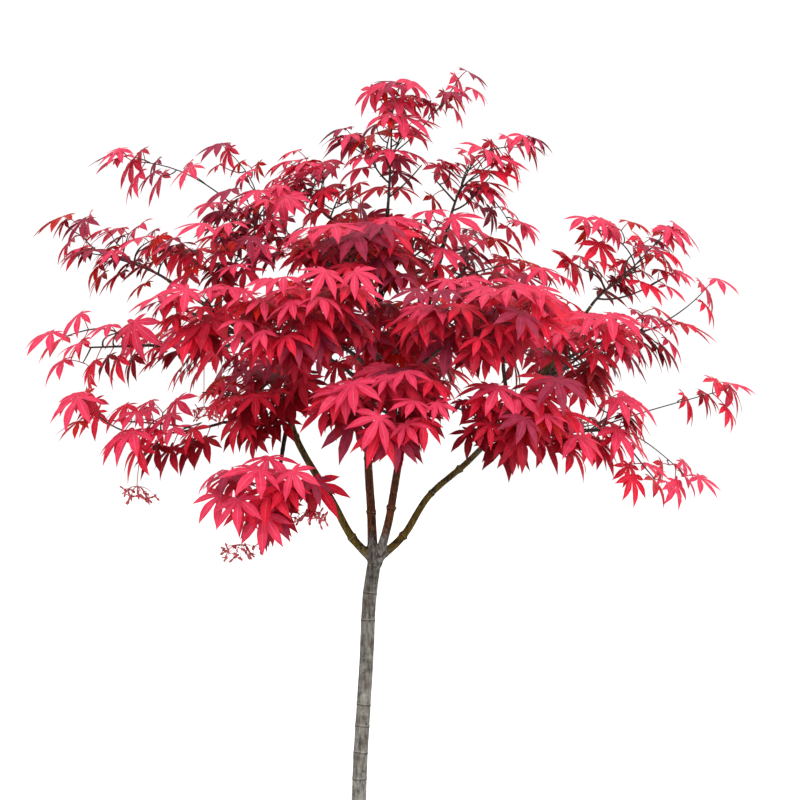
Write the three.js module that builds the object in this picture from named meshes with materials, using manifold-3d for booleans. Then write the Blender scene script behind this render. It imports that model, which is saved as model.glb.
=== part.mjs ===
// A young Japanese maple on a clear stem, in crimson leaf: one trunk with a root flare, four boughs from
// one fork, a limb to each mass of foliage, and the masses, each a stem with twigs and palmate leaves.
// Millimetres, +Z up, +X to the tree's right and +Y to its back. The origin is the middle of the flat cut
// under the trunk, at ground level.
import * as THREE from "three";
import Module from "manifold-3d";

const wasm = await Module();
wasm.setup();

// ---------------------------------------------------------------- driving dimensions
const clearStem = 600; // ground to the fork
const trunkRadius = { fork: 8.7, waist: 9, foot: 10.4 };
const rootFlare = { spread: 11, height: 26, lobes: 5, lobeDepth: 0.28 };
const knuckle = { middle: [25, 0, clearStem - 2], halfHeight: 17, radius: 10.5 }; // where the boughs part
const boughRadius = { base: 5.6, tip: 2.6 };
const limbRadius = { base: 3.1, tip: 1.9 };
const stemRadius = { base: 1.9, tip: 1.1 };
const twigRadius = { base: 1.5, tip: 0.9 };
const gap = 0.3; // between one wooden piece and the next
const leafLength = 60; // from the head of the leaf stalk to the tip of the middle lobe
const leafThickness = 1.3;
const stalkLength = 24;
const internode = 30; // between one pair of leaves and the next on a twig
const nodeLength = 2.8; // of the stretch of twig that a pair grows from
const twigCount = 4; // of each mass, besides its sprays
const leafReach = 24; // a leaf hangs out this far past its twig's tip
const leafHang = 14; // a twig ends this far above the middle of its leaves
const leafTries = 8; // each try a little smaller than the last
const sprayRoom = 42; // what a spray adds to its mass's space, all round its tip
const flatten = 1.3; // heights count for more, so that the masses lie in tiers
const crownHeart = new THREE.Vector3(50, 0, 800); // leaves turn their faces away from here
const sunnySide = new THREE.Vector3(0.1, -0.45, 0); // and lean a little this way
const up = new THREE.Vector3(0, 0, 1);

// The five lobes of a leaf: the angle each makes with the leaf's axis and its share of the leaf's length.
const lobes = [
  { turn: -84, reach: 0.66 },
  { turn: -43, reach: 0.92 },
  { turn: 0, reach: 1 },
  { turn: 43, reach: 0.92 },
  { turn: 84, reach: 0.66 },
];
const sinusReach = 0.42; // the notch between two lobes
const notch = { turn: 112, reach: 0.045 }; // either side of the stalk
const lobeDroop = 0.3; // how far a lobe's tip hangs under the leaf's plane, of the leaf's length

// ---------------------------------------------------------------- the tree's plan
const trunkLine = [
  [0, 0, 0],
  [1, 0, 90],
  [4, 1, 200],
  [5, 1, 310],
  [9, 0, 390],
  [14, 0, 470],
  [18, 0, 550],
  [25, 0, clearStem],
];

// Each bough runs from the fork through a few named places and ends in the mass of its own name.
const boughs = [
  {
    name: "bough_left",
    mass: "foliage_left_high",
    start: [24, 0, 594],
    through: [[-3, 0, 622], [-28, -4, 668], [-71, -5, 742], [-92, 6, 800], [-135, 24, 872]],
  },
  {
    name: "bough_mid_left",
    mass: "foliage_top",
    start: [22, 3, 600],
    through: [[20, 5, 655], [16, 5, 735], [24, 10, 830], [32, 8, 930]],
  },
  {
    name: "bough_mid_right",
    mass: "foliage_top_right",
    start: [30, -4, 600],
    through: [[42, -8, 645], [54, -8, 715], [70, 4, 790], [84, 12, 880]],
  },
  {
    name: "bough_right",
    mass: "foliage_right_high",
    start: [28, 0, 596],
    through: [[59, 0, 624], [92, -2, 675], [143, 0, 720], [200, 4, 782], [245, 6, 840]],
  },
];

// Each mass: the bough its limb leaves (at a share of the bough's length), the middle of its space, how
// far its twigs reach from there. Sprays are single shoots that stand out of the crown: where each ends,
// how large its leaves are and how many pairs it carries.
const masses = [
  { name: "low_left", on: "bough_left", at: 0.42, centre: [-94, -190, 689], reach: [72, 60, 46] },
  { name: "front_left", on: "bough_left", at: 0.62, centre: [-172, -150, 892], reach: [66, 58, 38] },
  {
    name: "left_low", on: "bough_left", at: 0.56, centre: [-228, -60, 756], reach: [104, 64, 38],
    sprays: [{ tip: [-326, -60, 794], size: 0.8, pairs: 1 }],
  },
  {
    name: "left_far", on: "bough_left", at: 0.72, centre: [-316, 20, 862], reach: [70, 56, 32],
    sprays: [{ tip: [-346, 28, 842], size: 0.7, pairs: 2 }],
  },
  {
    name: "left_high", centre: [-300, 60, 972], reach: [86, 66, 56],
    sprays: [{ tip: [-364, 88, 1024], size: 0.65, pairs: 2 }],
  },
  { name: "mid_left", on: "bough_left", at: 0.5, centre: [-118, -50, 790], reach: [84, 62, 66] },
  { name: "left_mid", on: "bough_left", at: 0.8, centre: [-158, -75, 956], reach: [66, 56, 50] },
  { name: "back_left", on: "bough_left", at: 0.68, centre: [-228, 190, 860], reach: [82, 72, 66] },
  { name: "front_mid_left", on: "bough_mid_left", at: 0.48, centre: [-55, -220, 880], reach: [70, 60, 56] },
  { name: "front_upper", on: "bough_mid_left", at: 0.62, centre: [-5, -150, 950], reach: [72, 56, 52] },
  {
    name: "high_left", on: "bough_mid_left", at: 0.66, centre: [-120, 0, 1012], reach: [76, 64, 56],
    sprays: [
      { tip: [-284, 35, 1098], size: 0.65, pairs: 3 },
      { tip: [-160, 20, 1108], size: 0.5, pairs: 1 },
    ],
  },
  { name: "top_left", on: "bough_mid_left", at: 0.78, centre: [-55, 40, 1056], reach: [66, 60, 56] },
  { name: "back_mid_left", on: "bough_mid_left", at: 0.42, centre: [-95, 225, 884], reach: [84, 72, 78] },
  { name: "back_high", on: "bough_mid_left", at: 0.7, centre: [-12, 180, 994], reach: [82, 70, 66] },
  {
    name: "top", centre: [44, 0, 1098], reach: [58, 56, 80],
    sprays: [
      { tip: [50, -18, 1176], size: 0.55, pairs: 2 },
      { tip: [130, 18, 1200], size: 0.5, pairs: 4 },
    ],
  },
  { name: "front_low", on: "bough_mid_right", at: 0.3, centre: [52, -225, 784], reach: [80, 62, 54] },
  { name: "front_right", on: "bough_mid_right", at: 0.5, centre: [144, -240, 874], reach: [70, 60, 50] },
  { name: "core", on: "bough_mid_right", at: 0.36, centre: [31, -70, 866], reach: [74, 56, 60] },
  { name: "upper_core", on: "bough_mid_right", at: 0.62, centre: [72, -40, 982], reach: [72, 60, 52] },
  { name: "back_mid", on: "bough_mid_right", at: 0.28, centre: [56, 235, 832], reach: [84, 72, 74] },
  {
    name: "back_high_right", on: "bough_mid_right", at: 0.66, centre: [148, 170, 978], reach: [81, 70, 60],
  },
  {
    name: "top_right", centre: [134, 20, 1064], reach: [68, 60, 50],
    sprays: [
      { tip: [206, 20, 1114], size: 0.6, pairs: 2 },
      { tip: [196, 40, 1020], size: 0.55, pairs: 1 },
    ],
  },
  { name: "low_right", on: "bough_right", at: 0.4, centre: [178, -205, 772], reach: [82, 64, 58] },
  {
    name: "right_low", on: "bough_right", at: 0.5, centre: [301, -50, 758], reach: [80, 68, 58],
    sprays: [
      { tip: [368, -42, 698], size: 0.85, pairs: 1 },
      { tip: [418, 28, 699], size: 0.6, pairs: 2 },
      { tip: [464, 0, 808], size: 0.6, pairs: 3 },
    ],
  },
  { name: "far_right_front", on: "bough_right", at: 0.58, centre: [266, -135, 848], reach: [66, 58, 58] },
  {
    name: "right_far", on: "bough_right", at: 0.72, centre: [364, 50, 882], reach: [68, 60, 42],
    sprays: [{ tip: [452, 80, 938], size: 0.65, pairs: 2 }],
  },
  { name: "back_right", on: "bough_right", at: 0.62, centre: [272, 205, 858], reach: [83, 72, 72] },
  { name: "right_mid", on: "bough_right", at: 0.55, centre: [206, -10, 912], reach: [76, 62, 62] },
  {
    name: "right_high", centre: [337, 0, 945], reach: [80, 64, 54],
    sprays: [
      { tip: [302, -20, 1006], size: 0.6, pairs: 2 },
      { tip: [386, 30, 1000], size: 0.7, pairs: 2 },
    ],
  },
];

// ---------------------------------------------------------------- helpers
const vec = ([x, y, z]) => new THREE.Vector3(x, y, z);
const mix = THREE.MathUtils.lerp;
const radians = THREE.MathUtils.degToRad;

// A repeatable stream of numbers from 0 to 1.
function draws(seed) {
  let state = seed | 0;
  return () => {
    state = (state + 0x6d2b79f5) | 0;
    let t = Math.imul(state ^ (state >>> 15), 1 | state);
    t = (t + Math.imul(t ^ (t >>> 7), 61 | t)) ^ t;
    return ((t ^ (t >>> 14)) >>> 0) / 4294967296;
  };
}

function solidFrom(vertices, triangles) {
  return new wasm.Manifold(
    new wasm.Mesh({
      numProp: 3,
      vertProperties: Float32Array.from(vertices.flatMap((v) => [v.x, v.y, v.z])),
      triVerts: Uint32Array.from(triangles.flat()),
    }),
  );
}

// Unit vectors across a line of points, carried along it so that they never twist.
function framesAlong(points) {
  let side = null;
  return points.map((point, i) => {
    const ahead = points[Math.min(i + 1, points.length - 1)];
    const behind = points[Math.max(i - 1, 0)];
    const along = ahead.clone().sub(behind).normalize();
    const last = side ?? (Math.abs(along.z) > 0.9 ? new THREE.Vector3(1, 0, 0) : up.clone());
    side = last.clone().addScaledVector(along, -last.dot(along)).normalize();
    return { point, along, side, across: along.clone().cross(side) };
  });
}

// A closed tube along a line of points. radiusAt(i, angle) gives each corner's distance from the line.
function tube(points, sides, radiusAt, frames = framesAlong(points)) {
  const vertices = [];
  const triangles = [];
  frames.forEach(({ point, side, across }, i) => {
    for (let k = 0; k < sides; k++) {
      const angle = (k / sides) * 2 * Math.PI;
      const r = radiusAt(i, angle);
      const corner = point.clone().addScaledVector(side, r * Math.cos(angle));
      vertices.push(corner.addScaledVector(across, r * Math.sin(angle)));
    }
  });
  const last = (points.length - 1) * sides;
  for (let i = 0; i < last; i += sides)
    for (let k = 0; k < sides; k++) {
      const next = (k + 1) % sides;
      triangles.push([i + k, i + next, i + sides + next], [i + k, i + sides + next, i + sides + k]);
    }
  for (let k = 1; k < sides - 1; k++) triangles.push([0, k + 1, k], [last, last + k, last + k + 1]);
  return solidFrom(vertices, triangles);
}

const taperedTube = (points, sides, { base, tip }, grown = 0) =>
  tube(points, sides, (i) => mix(base, tip, i / (points.length - 1)) + grown);

const largestPiece = (solid) =>
  solid.decompose().reduce((best, piece) => (piece.volume() > best.volume() ? piece : best));

function outwardFrom(point) {
  const away = new THREE.Vector3(point.x - crownHeart.x, point.y - crownHeart.y, 0).normalize();
  return away.add(sunnySide).normalize();
}

// ---------------------------------------------------------------- trunk, boughs and limbs
// Heights of the shaft's rings, closest at the foot, and of the knuckle's, in half heights from its middle.
const trunkRings = [0, 7, 16, 30, 50, 80, 130, 200, 275, 350, 425, 500, 560, 590];
const knuckleLevels = [-0.96, -0.75, -0.3, 0.3, 0.75, 0.96];

function trunkRadiusAt(z, angle) {
  const half = clearStem / 2;
  const upper = z > half;
  const stem = upper
    ? mix(trunkRadius.waist, trunkRadius.fork, z / half - 1)
    : mix(trunkRadius.foot, trunkRadius.waist, z / half);
  const lobe = 1 + rootFlare.lobeDepth * Math.cos(rootFlare.lobes * angle);
  return stem + rootFlare.spread * Math.exp(-z / rootFlare.height) * lobe;
}

// The shaft's rings are level, so that its foot lies flat on the ground.
function trunkSolid(grown = 0) {
  const curve = new THREE.CatmullRomCurve3(trunkLine.map(vec));
  const frames = trunkRings.map((z) => ({
    point: curve.getPoint(curve.getUtoTmapping(z / clearStem)).setZ(z),
    side: new THREE.Vector3(1, 0, 0),
    across: new THREE.Vector3(0, 1, 0),
  }));
  const shaft = tube(trunkRings, 15, (i, angle) => trunkRadiusAt(trunkRings[i], angle) + grown, frames);
  const { middle, halfHeight, radius } = knuckle;
  const middles = knuckleLevels.map((level) => vec(middle).addScaledVector(up, halfHeight * level));
  const swelling = tube(middles, 12, (i) => radius * Math.sqrt(1 - knuckleLevels[i] ** 2) + grown);
  return shaft.add(swelling);
}

const massNamed = (name) => masses.find((mass) => "foliage_" + mass.name === name);

// Where a limb ends and its mass's stem takes over: short of the middle of the mass's space.
function limbTip(mass, from) {
  const centre = vec(mass.centre);
  const inward = from.clone().sub(centre).normalize();
  return centre.add(inward.multiply(vec(mass.reach)).multiplyScalar(0.8));
}

function boughLine(bough) {
  const through = bough.through.map(vec);
  const tip = limbTip(massNamed(bough.mass), through.at(-1));
  return new THREE.CatmullRomCurve3([vec(bough.start), ...through, tip], false, "centripetal");
}

// A limb leaves its bough along the way the bough grows, then levels out towards its mass.
function limbLine(mass) {
  const bough = wood.get(mass.on);
  const start = bough.curve.getPointAt(mass.at);
  const along = bough.curve.getTangentAt(mass.at);
  const tip = limbTip(mass, start);
  const length = tip.distanceTo(start);
  const level = tip.clone().sub(start).setZ(0).normalize().addScaledVector(up, 0.12).normalize();
  return new THREE.CubicBezierCurve3(
    start,
    start.clone().addScaledVector(along, length * 0.2).addScaledVector(level, length * 0.12),
    tip.clone().addScaledVector(level, -length * 0.35),
    tip,
  );
}

const wood = new Map(); // name: the curve, points, radii and solid of each bough and limb

function addWood(name, curve, steps, sides, radius, clearOf) {
  const points = curve.getSpacedPoints(steps);
  let solid = taperedTube(points, sides, radius);
  for (const other of clearOf) solid = solid.subtract(other);
  const grown = taperedTube(points, sides, radius, gap);
  wood.set(name, { name, curve, points, solid: largestPiece(solid), grown });
}

const trunk = trunkSolid();
const trunkGrown = trunkSolid(gap);
for (const bough of boughs) {
  const earlier = [...wood.values()].map((piece) => piece.grown);
  addWood(bough.name, boughLine(bough), 12, 8, boughRadius, [trunkGrown, ...earlier]);
}
for (const mass of masses.filter(({ on }) => on))
  addWood("limb_" + mass.name, limbLine(mass), 5, 5, limbRadius, [wood.get(mass.on).grown]);

// The limb or bough that a mass's stem grows on from.
function woodOf(mass) {
  const bough = boughs.find((each) => each.mass === "foliage_" + mass.name);
  return wood.get(bough ? bough.name : "limb_" + mass.name);
}

// ---------------------------------------------------------------- the space each mass keeps to
// Flat walls part each mass from every other, nearer to the smaller of the two. A spray brings room of
// its own: a place at its tip, and one halfway to it.
const flattened = (point) => new THREE.Vector3(point.x, point.y, point.z * flatten);
const places = masses.flatMap(({ centre, reach, sprays = [] }, owner) => {
  const middle = vec(centre);
  const alongSpray = ({ tip }) => [vec(tip), middle.clone().lerp(vec(tip), 0.5)];
  return [
    { at: flattened(middle), size: (reach[0] + reach[1] + reach[2]) / 3, owner },
    ...sprays.flatMap(alongSpray).map((point) => ({ at: flattened(point), size: sprayRoom, owner })),
  ];
});

function inSpace(point, owner, clearance) {
  const p = flattened(point);
  const ranked = places.map((place) => ({ place, power: p.distanceToSquared(place.at) - place.size ** 2 }));
  const nearestOf = (list) => list.reduce((best, next) => (next.power < best.power ? next : best));
  const own = nearestOf(ranked.filter(({ place }) => place.owner === owner));
  return ranked.every(
    ({ place, power }) =>
      place.owner === owner || (power - own.power) / (2 * place.at.distanceTo(own.place.at)) > clearance,
  );
}

const meets = (a, b) => {
  const [p, q] = [a.boundingBox(), b.boundingBox()];
  const apart = [0, 1, 2].some((k) => p.min[k] > q.max[k] || q.min[k] > p.max[k]);
  return !apart && !a.intersect(b).isEmpty();
};

// ---------------------------------------------------------------- shoots
// A mass is one skin. Its stem and twigs are four-sided; at each node a short stretch of wall stays open
// for what grows there, and the skin is drawn out through it into a twig or a leaf.
function addRing(skin, { point, side, across }, radius) {
  const half = radius * Math.SQRT1_2;
  const signs = [[1, 1], [-1, 1], [-1, -1], [1, -1]];
  return signs.map(([s, a]) =>
    skin.corners.push(point.clone().addScaledVector(side, s * half).addScaledVector(across, a * half)) - 1);
}

function addQuad(skin, [a, b, c, d]) {
  const pair = [[a, b, c], [a, c, d]];
  skin.triangles.push(...pair);
  return pair;
}

const wallOf = (low, high, face) => {
  const next = (face + 1) % 4;
  return [low[face], low[next], high[next], high[face]];
};

// Joins two rings of four that face the same way, turned so that the walls run straightest.
function joinRings(skin, base, ring) {
  const at = (k) => skin.corners[k];
  const middle = (r) => r.reduce((sum, k) => sum.add(at(k)), new THREE.Vector3()).divideScalar(4);
  const shift = middle(ring).sub(middle(base));
  const shifted = base.map((k) => at(k).clone().add(shift));
  const strain = [0, 1, 2, 3].map((turn) =>
    shifted.reduce((sum, point, j) => sum + point.distanceToSquared(at(ring[(j + turn) % 4])), 0));
  const turn = strain.indexOf(Math.min(...strain));
  const turned = [0, 1, 2, 3].map((j) => ring[(j + turn) % 4]);
  for (let face = 0; face < 4; face++) {
    const [a, b, c, d] = wallOf(base, turned, face);
    const fold = new THREE.Triangle(at(a), at(b), at(c)).getNormal(new THREE.Vector3());
    const outward = at(d).clone().sub(at(a)).dot(fold) <= 0; // each wall folds outwards, never in
    addQuad(skin, outward ? [a, b, c, d] : [b, c, d, a]);
  }
}

function frameAt(line, distance, length) {
  const share = THREE.MathUtils.clamp(distance / length, 0, 1);
  const along = line.getTangentAt(share);
  const side = along.clone().cross(up).normalize();
  return { point: line.getPointAt(share), along, side, across: along.clone().cross(side) };
}

// The middles of a shoot's rings: its foot, then the two ends of each node.
function ringPlaces(line, distances) {
  const length = line.getLength();
  return [0, ...distances.flatMap((distance) => [distance - nodeLength, distance])].map((d) =>
    line.getPointAt(THREE.MathUtils.clamp(d / length, 0, 1)));
}

// Draws a shoot along a line, out of an opening or from a closed foot, with a node at each distance. A
// node has four walls, and the last one has a fifth across its tip.
function drawShoot(skin, opening, line, radius, distances) {
  const length = line.getLength();
  const ringAt = (distance) =>
    addRing(skin, frameAt(line, distance, length), mix(radius.base, radius.tip, distance / length));
  let last = opening;
  if (!opening) {
    last = ringAt(0);
    addQuad(skin, last.toReversed());
  }
  const nodes = distances.map((distance) => {
    const low = ringAt(distance - nodeLength);
    const high = ringAt(distance);
    joinRings(skin, last, low);
    last = high;
    const frame = frameAt(line, distance - nodeLength / 2, length);
    const { across, side, along } = frame;
    const ways = [across, side.clone().negate(), across.clone().negate(), side, along]; // that its walls face
    return { walls: [0, 1, 2, 3].map((face) => wallOf(low, high, face)), frame, ways };
  });
  nodes.at(-1).walls.push(last);
  for (const node of nodes) {
    node.free = [...node.walls.keys()];
    node.skins = node.walls.map((wall) => addQuad(skin, wall));
  }
  return nodes;
}

// The open wall of a node that faces a given way best.
const wallFacing = (node, way) =>
  node.free.reduce((best, k) => (node.ways[k].dot(way) > node.ways[best].dot(way) ? k : best));

function openWall(skin, node, face) {
  node.free = node.free.filter((k) => k !== face);
  skin.triangles = skin.triangles.filter((triangle) => !node.skins[face].includes(triangle));
}

const ray = new THREE.Ray();
const spot = new THREE.Vector3();

// Whether an edge of one triangle runs through another, leaving out edges at a corner they share.
function pierces(corners, triangle, face) {
  const [a, b, c] = face.map((k) => corners[k]);
  return triangle.some((k, i) => {
    const next = triangle[(i + 1) % 3];
    if (face.includes(k) || face.includes(next)) return false;
    const length = corners[k].distanceTo(corners[next]);
    ray.origin.copy(corners[k]);
    ray.direction.subVectors(corners[next], corners[k]).normalize();
    return ray.intersectTriangle(a, b, c, false, spot) && spot.distanceTo(corners[k]) < length;
  });
}

function cross(corners, one, other) {
  const apart = ["x", "y", "z"].some((axis) => {
    const [p, q] = [one, other].map((triangle) => triangle.map((k) => corners[k][axis]));
    return Math.min(...p) > Math.max(...q) || Math.min(...q) > Math.max(...p);
  });
  if (apart || one.filter((k) => other.includes(k)).length > 1) return false;
  return pierces(corners, one, other) || pierces(corners, other, one);
}

// Draws something onto the skin, and takes it off again if it runs through any of the skin.
function drawIfClear(skin, draw) {
  const before = { corners: skin.corners.length, triangles: skin.triangles.length };
  const drawn = draw();
  const fresh = skin.triangles.slice(before.triangles);
  const crossed = (one) => skin.triangles.some((other) => one !== other && cross(skin.corners, one, other));
  if (!fresh.some(crossed)) return drawn;
  skin.corners.length = before.corners;
  skin.triangles.length = before.triangles;
  return null;
}

// ---------------------------------------------------------------- leaves
const leafPoint = (leaf, turn, reach, droop) => {
  const angle = radians(turn);
  return leaf.head
    .clone()
    .addScaledVector(leaf.axis, leaf.size * reach * Math.cos(angle))
    .addScaledVector(leaf.side, leaf.size * reach * Math.sin(angle))
    .addScaledVector(leaf.face, -leaf.size * droop);
};

// The outline of a leaf from one side of its stalk round to the other, then the middles of its two faces.
function leafCorners(leaf) {
  const outline = [leafPoint(leaf, -notch.turn, notch.reach, 0)];
  lobes.forEach(({ turn, reach }, i) => {
    if (i) outline.push(leafPoint(leaf, (turn + lobes[i - 1].turn) / 2, sinusReach, 0.03));
    outline.push(leafPoint(leaf, turn, reach, lobeDroop * reach));
  });
  outline.push(leafPoint(leaf, notch.turn, notch.reach, 0));
  const half = leafThickness / 2;
  return [...outline, leafPoint(leaf, 0, 0, 0).addScaledVector(leaf.face, half),
    leafPoint(leaf, 0, 0, 0).addScaledVector(leaf.face, -half)];
}

// The two fans of a blade over corners that start at a given number, and the ring left open for the stalk.
function bladeFans(count, first = 0) {
  const [last, top, under] = [count - 3, count - 2, count - 1].map((k) => k + first);
  const triangles = [];
  for (let i = first; i < last; i++) triangles.push([top, i, i + 1], [under, i + 1, i]);
  return { triangles, ring: [last, top, first, under] };
}

function bladeSolid(leaf) {
  const corners = leafCorners(leaf);
  const { triangles, ring: [last, top, first, under] } = bladeFans(corners.length);
  return solidFrom(corners, [...triangles, [top, last, under], [top, under, first]]);
}

function stalkSolid(leaf) {
  const way = leaf.head.clone().sub(leaf.foot).normalize();
  const from = leaf.foot.clone().addScaledVector(way, 2 * twigRadius.base);
  const to = leaf.head.clone().addScaledVector(way, -2);
  return tube([from, to], 4, () => 1.6);
}

function drawLeaf(skin, opening, leaf) {
  const corners = leafCorners(leaf);
  const { triangles, ring } = bladeFans(corners.length, skin.corners.length);
  skin.corners.push(...corners);
  skin.triangles.push(...triangles);
  joinRings(skin, opening, ring);
  return leaf;
}

// A leaf's stalk leaves its node sideways and forwards. The blade lies out from the stalk's head, nearly
// level, its face turned up and away from the heart of the crown.
function poseLeaf({ point, along }, way, size, draw) {
  const lift = way.z > -0.5 ? 0.1 + 0.35 * draw() : 0;
  const stalkWay = along.clone().multiplyScalar(0.3 + 0.3 * draw())
    .addScaledVector(way, 0.8)
    .addScaledVector(up, lift)
    .normalize();
  const length = leafLength * size * (0.88 + 0.24 * draw());
  const head = point.clone().addScaledVector(stalkWay, stalkLength * size * (0.7 + 0.6 * draw()));
  const outward = outwardFrom(head);
  const axis = stalkWay.clone().multiplyScalar(0.5)
    .addScaledVector(outward, 0.4 + 0.4 * draw())
    .addScaledVector(up, -0.05 - 0.45 * draw() - 0.5 * Math.max(stalkWay.z, 0))
    .normalize();
  const face = up.clone().multiplyScalar(0.8 + 0.4 * draw()).addScaledVector(outward, 0.3)
    .addScaledVector(way, 0.5 * (draw() - 0.5));
  face.addScaledVector(axis, -face.dot(axis)).normalize();
  return { foot: point, head, axis, face, side: face.clone().cross(axis), size: length };
}

// ---------------------------------------------------------------- a mass of foliage
// What every mass keeps clear of: the limbs, and the stems of the other masses, each grown by the gap.
const barriers = [trunkGrown, ...[...wood.values()].map((piece) => piece.grown)];

function clearOfWood(solid, index) {
  const otherStems = stems.filter((_, j) => j !== index).map((stem) => stem.grown);
  return ![...barriers, ...otherStems].some((other) => meets(solid, other));
}

function stemOf(mass) {
  const [before, tip] = woodOf(mass).points.slice(-2);
  const along = tip.clone().sub(before).normalize();
  const centre = vec(mass.centre);
  const start = tip.clone().addScaledVector(along, gap);
  const far = centre.clone().addScaledVector(centre.clone().sub(tip), 0.35);
  const middle = start.clone().addScaledVector(along, far.distanceTo(start) * 0.4);
  const line = new THREE.QuadraticBezierCurve3(start, middle, far);
  const shares = Array.from({ length: twigCount + 1 }, (_, i) => mix(0.18, 1, i / twigCount));
  const distances = shares.map((share) => line.getLength() * share);
  const rings = ringPlaces(line, distances);
  const [solid, grown] = [0, gap].map((extra) => taperedTube(rings, 4, stemRadius, extra));
  return { line, distances, solid, grown };
}

const stems = masses.map(stemOf);

// Where a mass's twigs end: the sprays that stand out of its space, then those spread round it.
function twigEnds(mass, index) {
  const ends = Array.from({ length: twigCount }, (_, i) => {
    const draw = draws(1000 * (index + 1) + 500 + i);
    const bearing = i * 2.4 + 0.8 * draw();
    const rise = mix(-0.5, 0.85, (i + 0.5) / twigCount);
    const level = Math.sqrt(1 - rise * rise);
    const way = new THREE.Vector3(Math.cos(bearing) * level, Math.sin(bearing) * level, rise);
    const tip = way
      .multiply(vec(mass.reach).addScalar(-leafReach))
      .multiplyScalar(0.9 + 0.4 * draw())
      .add(vec(mass.centre))
      .addScaledVector(up, leafHang);
    return { tip, node: i, size: 1, pairs: 2 };
  });
  const sprays = mass.sprays ?? [];
  return [...sprays.map((spray, i) => ({ ...spray, tip: vec(spray.tip), node: twigCount - i })), ...ends];
}

// A twig leaves its stem squarely through the wall, then bends over towards its end.
function twigLine({ point, along }, way, end) {
  const length = end.distanceTo(point);
  const middle = point.clone().addScaledVector(way, 0.38 * length)
    .addScaledVector(along, 0.14 * length)
    .addScaledVector(up, 0.08 * length);
  return new THREE.QuadraticBezierCurve3(point, middle, end);
}

// The distances of a twig's nodes, from the tip back.
function nodeDistances(length, size, pairs) {
  const distances = [];
  for (let k = 0; k < pairs && length - k * internode * size > 20; k++)
    distances.unshift(length - k * internode * size);
  return distances;
}

// The longest twig towards an end that keeps to the space and clear of all wood, or none.
function findTwig(node, { tip, size, pairs }, index, twigs) {
  const face = wallFacing(node, tip.clone().sub(node.frame.point).normalize());
  for (const part of [1, 0.8, 0.6]) {
    const line = twigLine(node.frame, node.ways[face], node.frame.point.clone().lerp(tip, part));
    const distances = nodeDistances(line.getLength(), size, pairs);
    const rings = ringPlaces(line, distances);
    if (rings.length < 3 || !rings.every((p) => inSpace(p, index, 2))) continue;
    rings[0].lerp(rings[1], 3.5 / rings[0].distanceTo(rings[1]));
    const solid = taperedTube(rings, 4, twigRadius, 0.8);
    if (clearOfWood(solid, index) && !twigs.some((other) => meets(solid, other.solid)))
      return { face, line, distances, solid };
  }
  return null;
}

// A leaf stays only in its mass's space, clear of the limbs, with nothing of the mass through its blade.
function fits(leaf, index, held) {
  if (!leafCorners(leaf).every((p) => inSpace(p, index, 1))) return null;
  const blade = bladeSolid(leaf);
  const stalk = stalkSolid(leaf);
  if (!clearOfWood(blade, index) || !clearOfWood(stalk, index)) return null;
  const inTheWay = [...held.wooden, ...held.leaves];
  return inTheWay.some((other) => meets(blade, other) || meets(stalk, other)) ? null : [blade, stalk];
}

function addLeaf(skin, node, face, index, seed, size, held) {
  for (let attempt = 0; attempt < leafTries; attempt++) {
    const smaller = 1 - (0.35 * attempt) / leafTries;
    const leaf = poseLeaf(node.frame, node.ways[face], size * smaller, draws(seed + attempt * 1009));
    const solids = fits(leaf, index, held);
    if (!solids || !drawIfClear(skin, () => drawLeaf(skin, node.walls[face], leaf))) continue;
    openWall(skin, node, face);
    held.leaves.push(...solids);
    return;
  }
}

function growMass(mass, index) {
  const skin = { corners: [], triangles: [] };
  const { line, distances, solid } = stems[index];
  const stemNodes = drawShoot(skin, null, line, stemRadius, distances);
  const held = { wooden: [solid], leaves: [] };
  const twigs = [];
  for (const end of twigEnds(mass, index)) {
    const node = stemNodes[end.node];
    const twig = findTwig(node, end, index, twigs);
    if (!twig) continue;
    const opening = node.walls[twig.face];
    const nodes = drawIfClear(skin, () => drawShoot(skin, opening, twig.line, twigRadius, twig.distances));
    if (!nodes) continue;
    openWall(skin, node, twig.face);
    held.wooden.push(twig.solid);
    twigs.push({ ...end, ...twig, nodes });
  }
  const seed = 1000 * (index + 1);
  const pair = (node, k, number, size) =>
    [k % 2 ? 0 : 1, k % 2 ? 2 : 3].forEach((face) =>
      addLeaf(skin, node, face, index, seed + number * 60 + k * 8 + face, size, held));
  twigs.forEach((twig, i) => {
    twig.nodes.toReversed().forEach((node, k) => pair(node, k, i + 1, twig.size));
  });
  stemNodes.forEach((node, k) => {
    for (const face of node.free.slice(0, 2)) addLeaf(skin, node, face, index, seed + k * 8 + face, 1, held);
  });
  return solidFrom(skin.corners, skin.triangles);
}

// ---------------------------------------------------------------- the finished group
const bark = new THREE.MeshStandardMaterial({ color: 0x8a8478, roughness: 0.85 });
const greenBark = new THREE.MeshStandardMaterial({ color: 0x5c4a22, roughness: 0.7 });
const crimson = new THREE.MeshStandardMaterial({ color: 0xc0283c, roughness: 0.55 });

function named(name, solid, material) {
  const { numProp, vertProperties, triVerts } = solid.getMesh();
  if (numProp !== 3) throw new Error(name + " carries more than positions");
  const geometry = new THREE.BufferGeometry()
    .setAttribute("position", new THREE.BufferAttribute(vertProperties, 3))
    .setIndex(new THREE.BufferAttribute(triVerts, 1));
  geometry.computeVertexNormals();
  const mesh = new THREE.Mesh(geometry, material);
  mesh.name = name;
  return mesh;
}

const tree = new THREE.Group();
tree.add(named("trunk", trunk, bark));
for (const piece of wood.values()) tree.add(named(piece.name, piece.solid, greenBark));
masses.forEach((mass, index) => tree.add(named("foliage_" + mass.name, growMass(mass, index), crimson)));

export default tree;
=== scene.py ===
import math
import bpy
import numpy as np
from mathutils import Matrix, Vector, kdtree, noise
from mathutils.bvhtree import BVHTree


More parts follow.
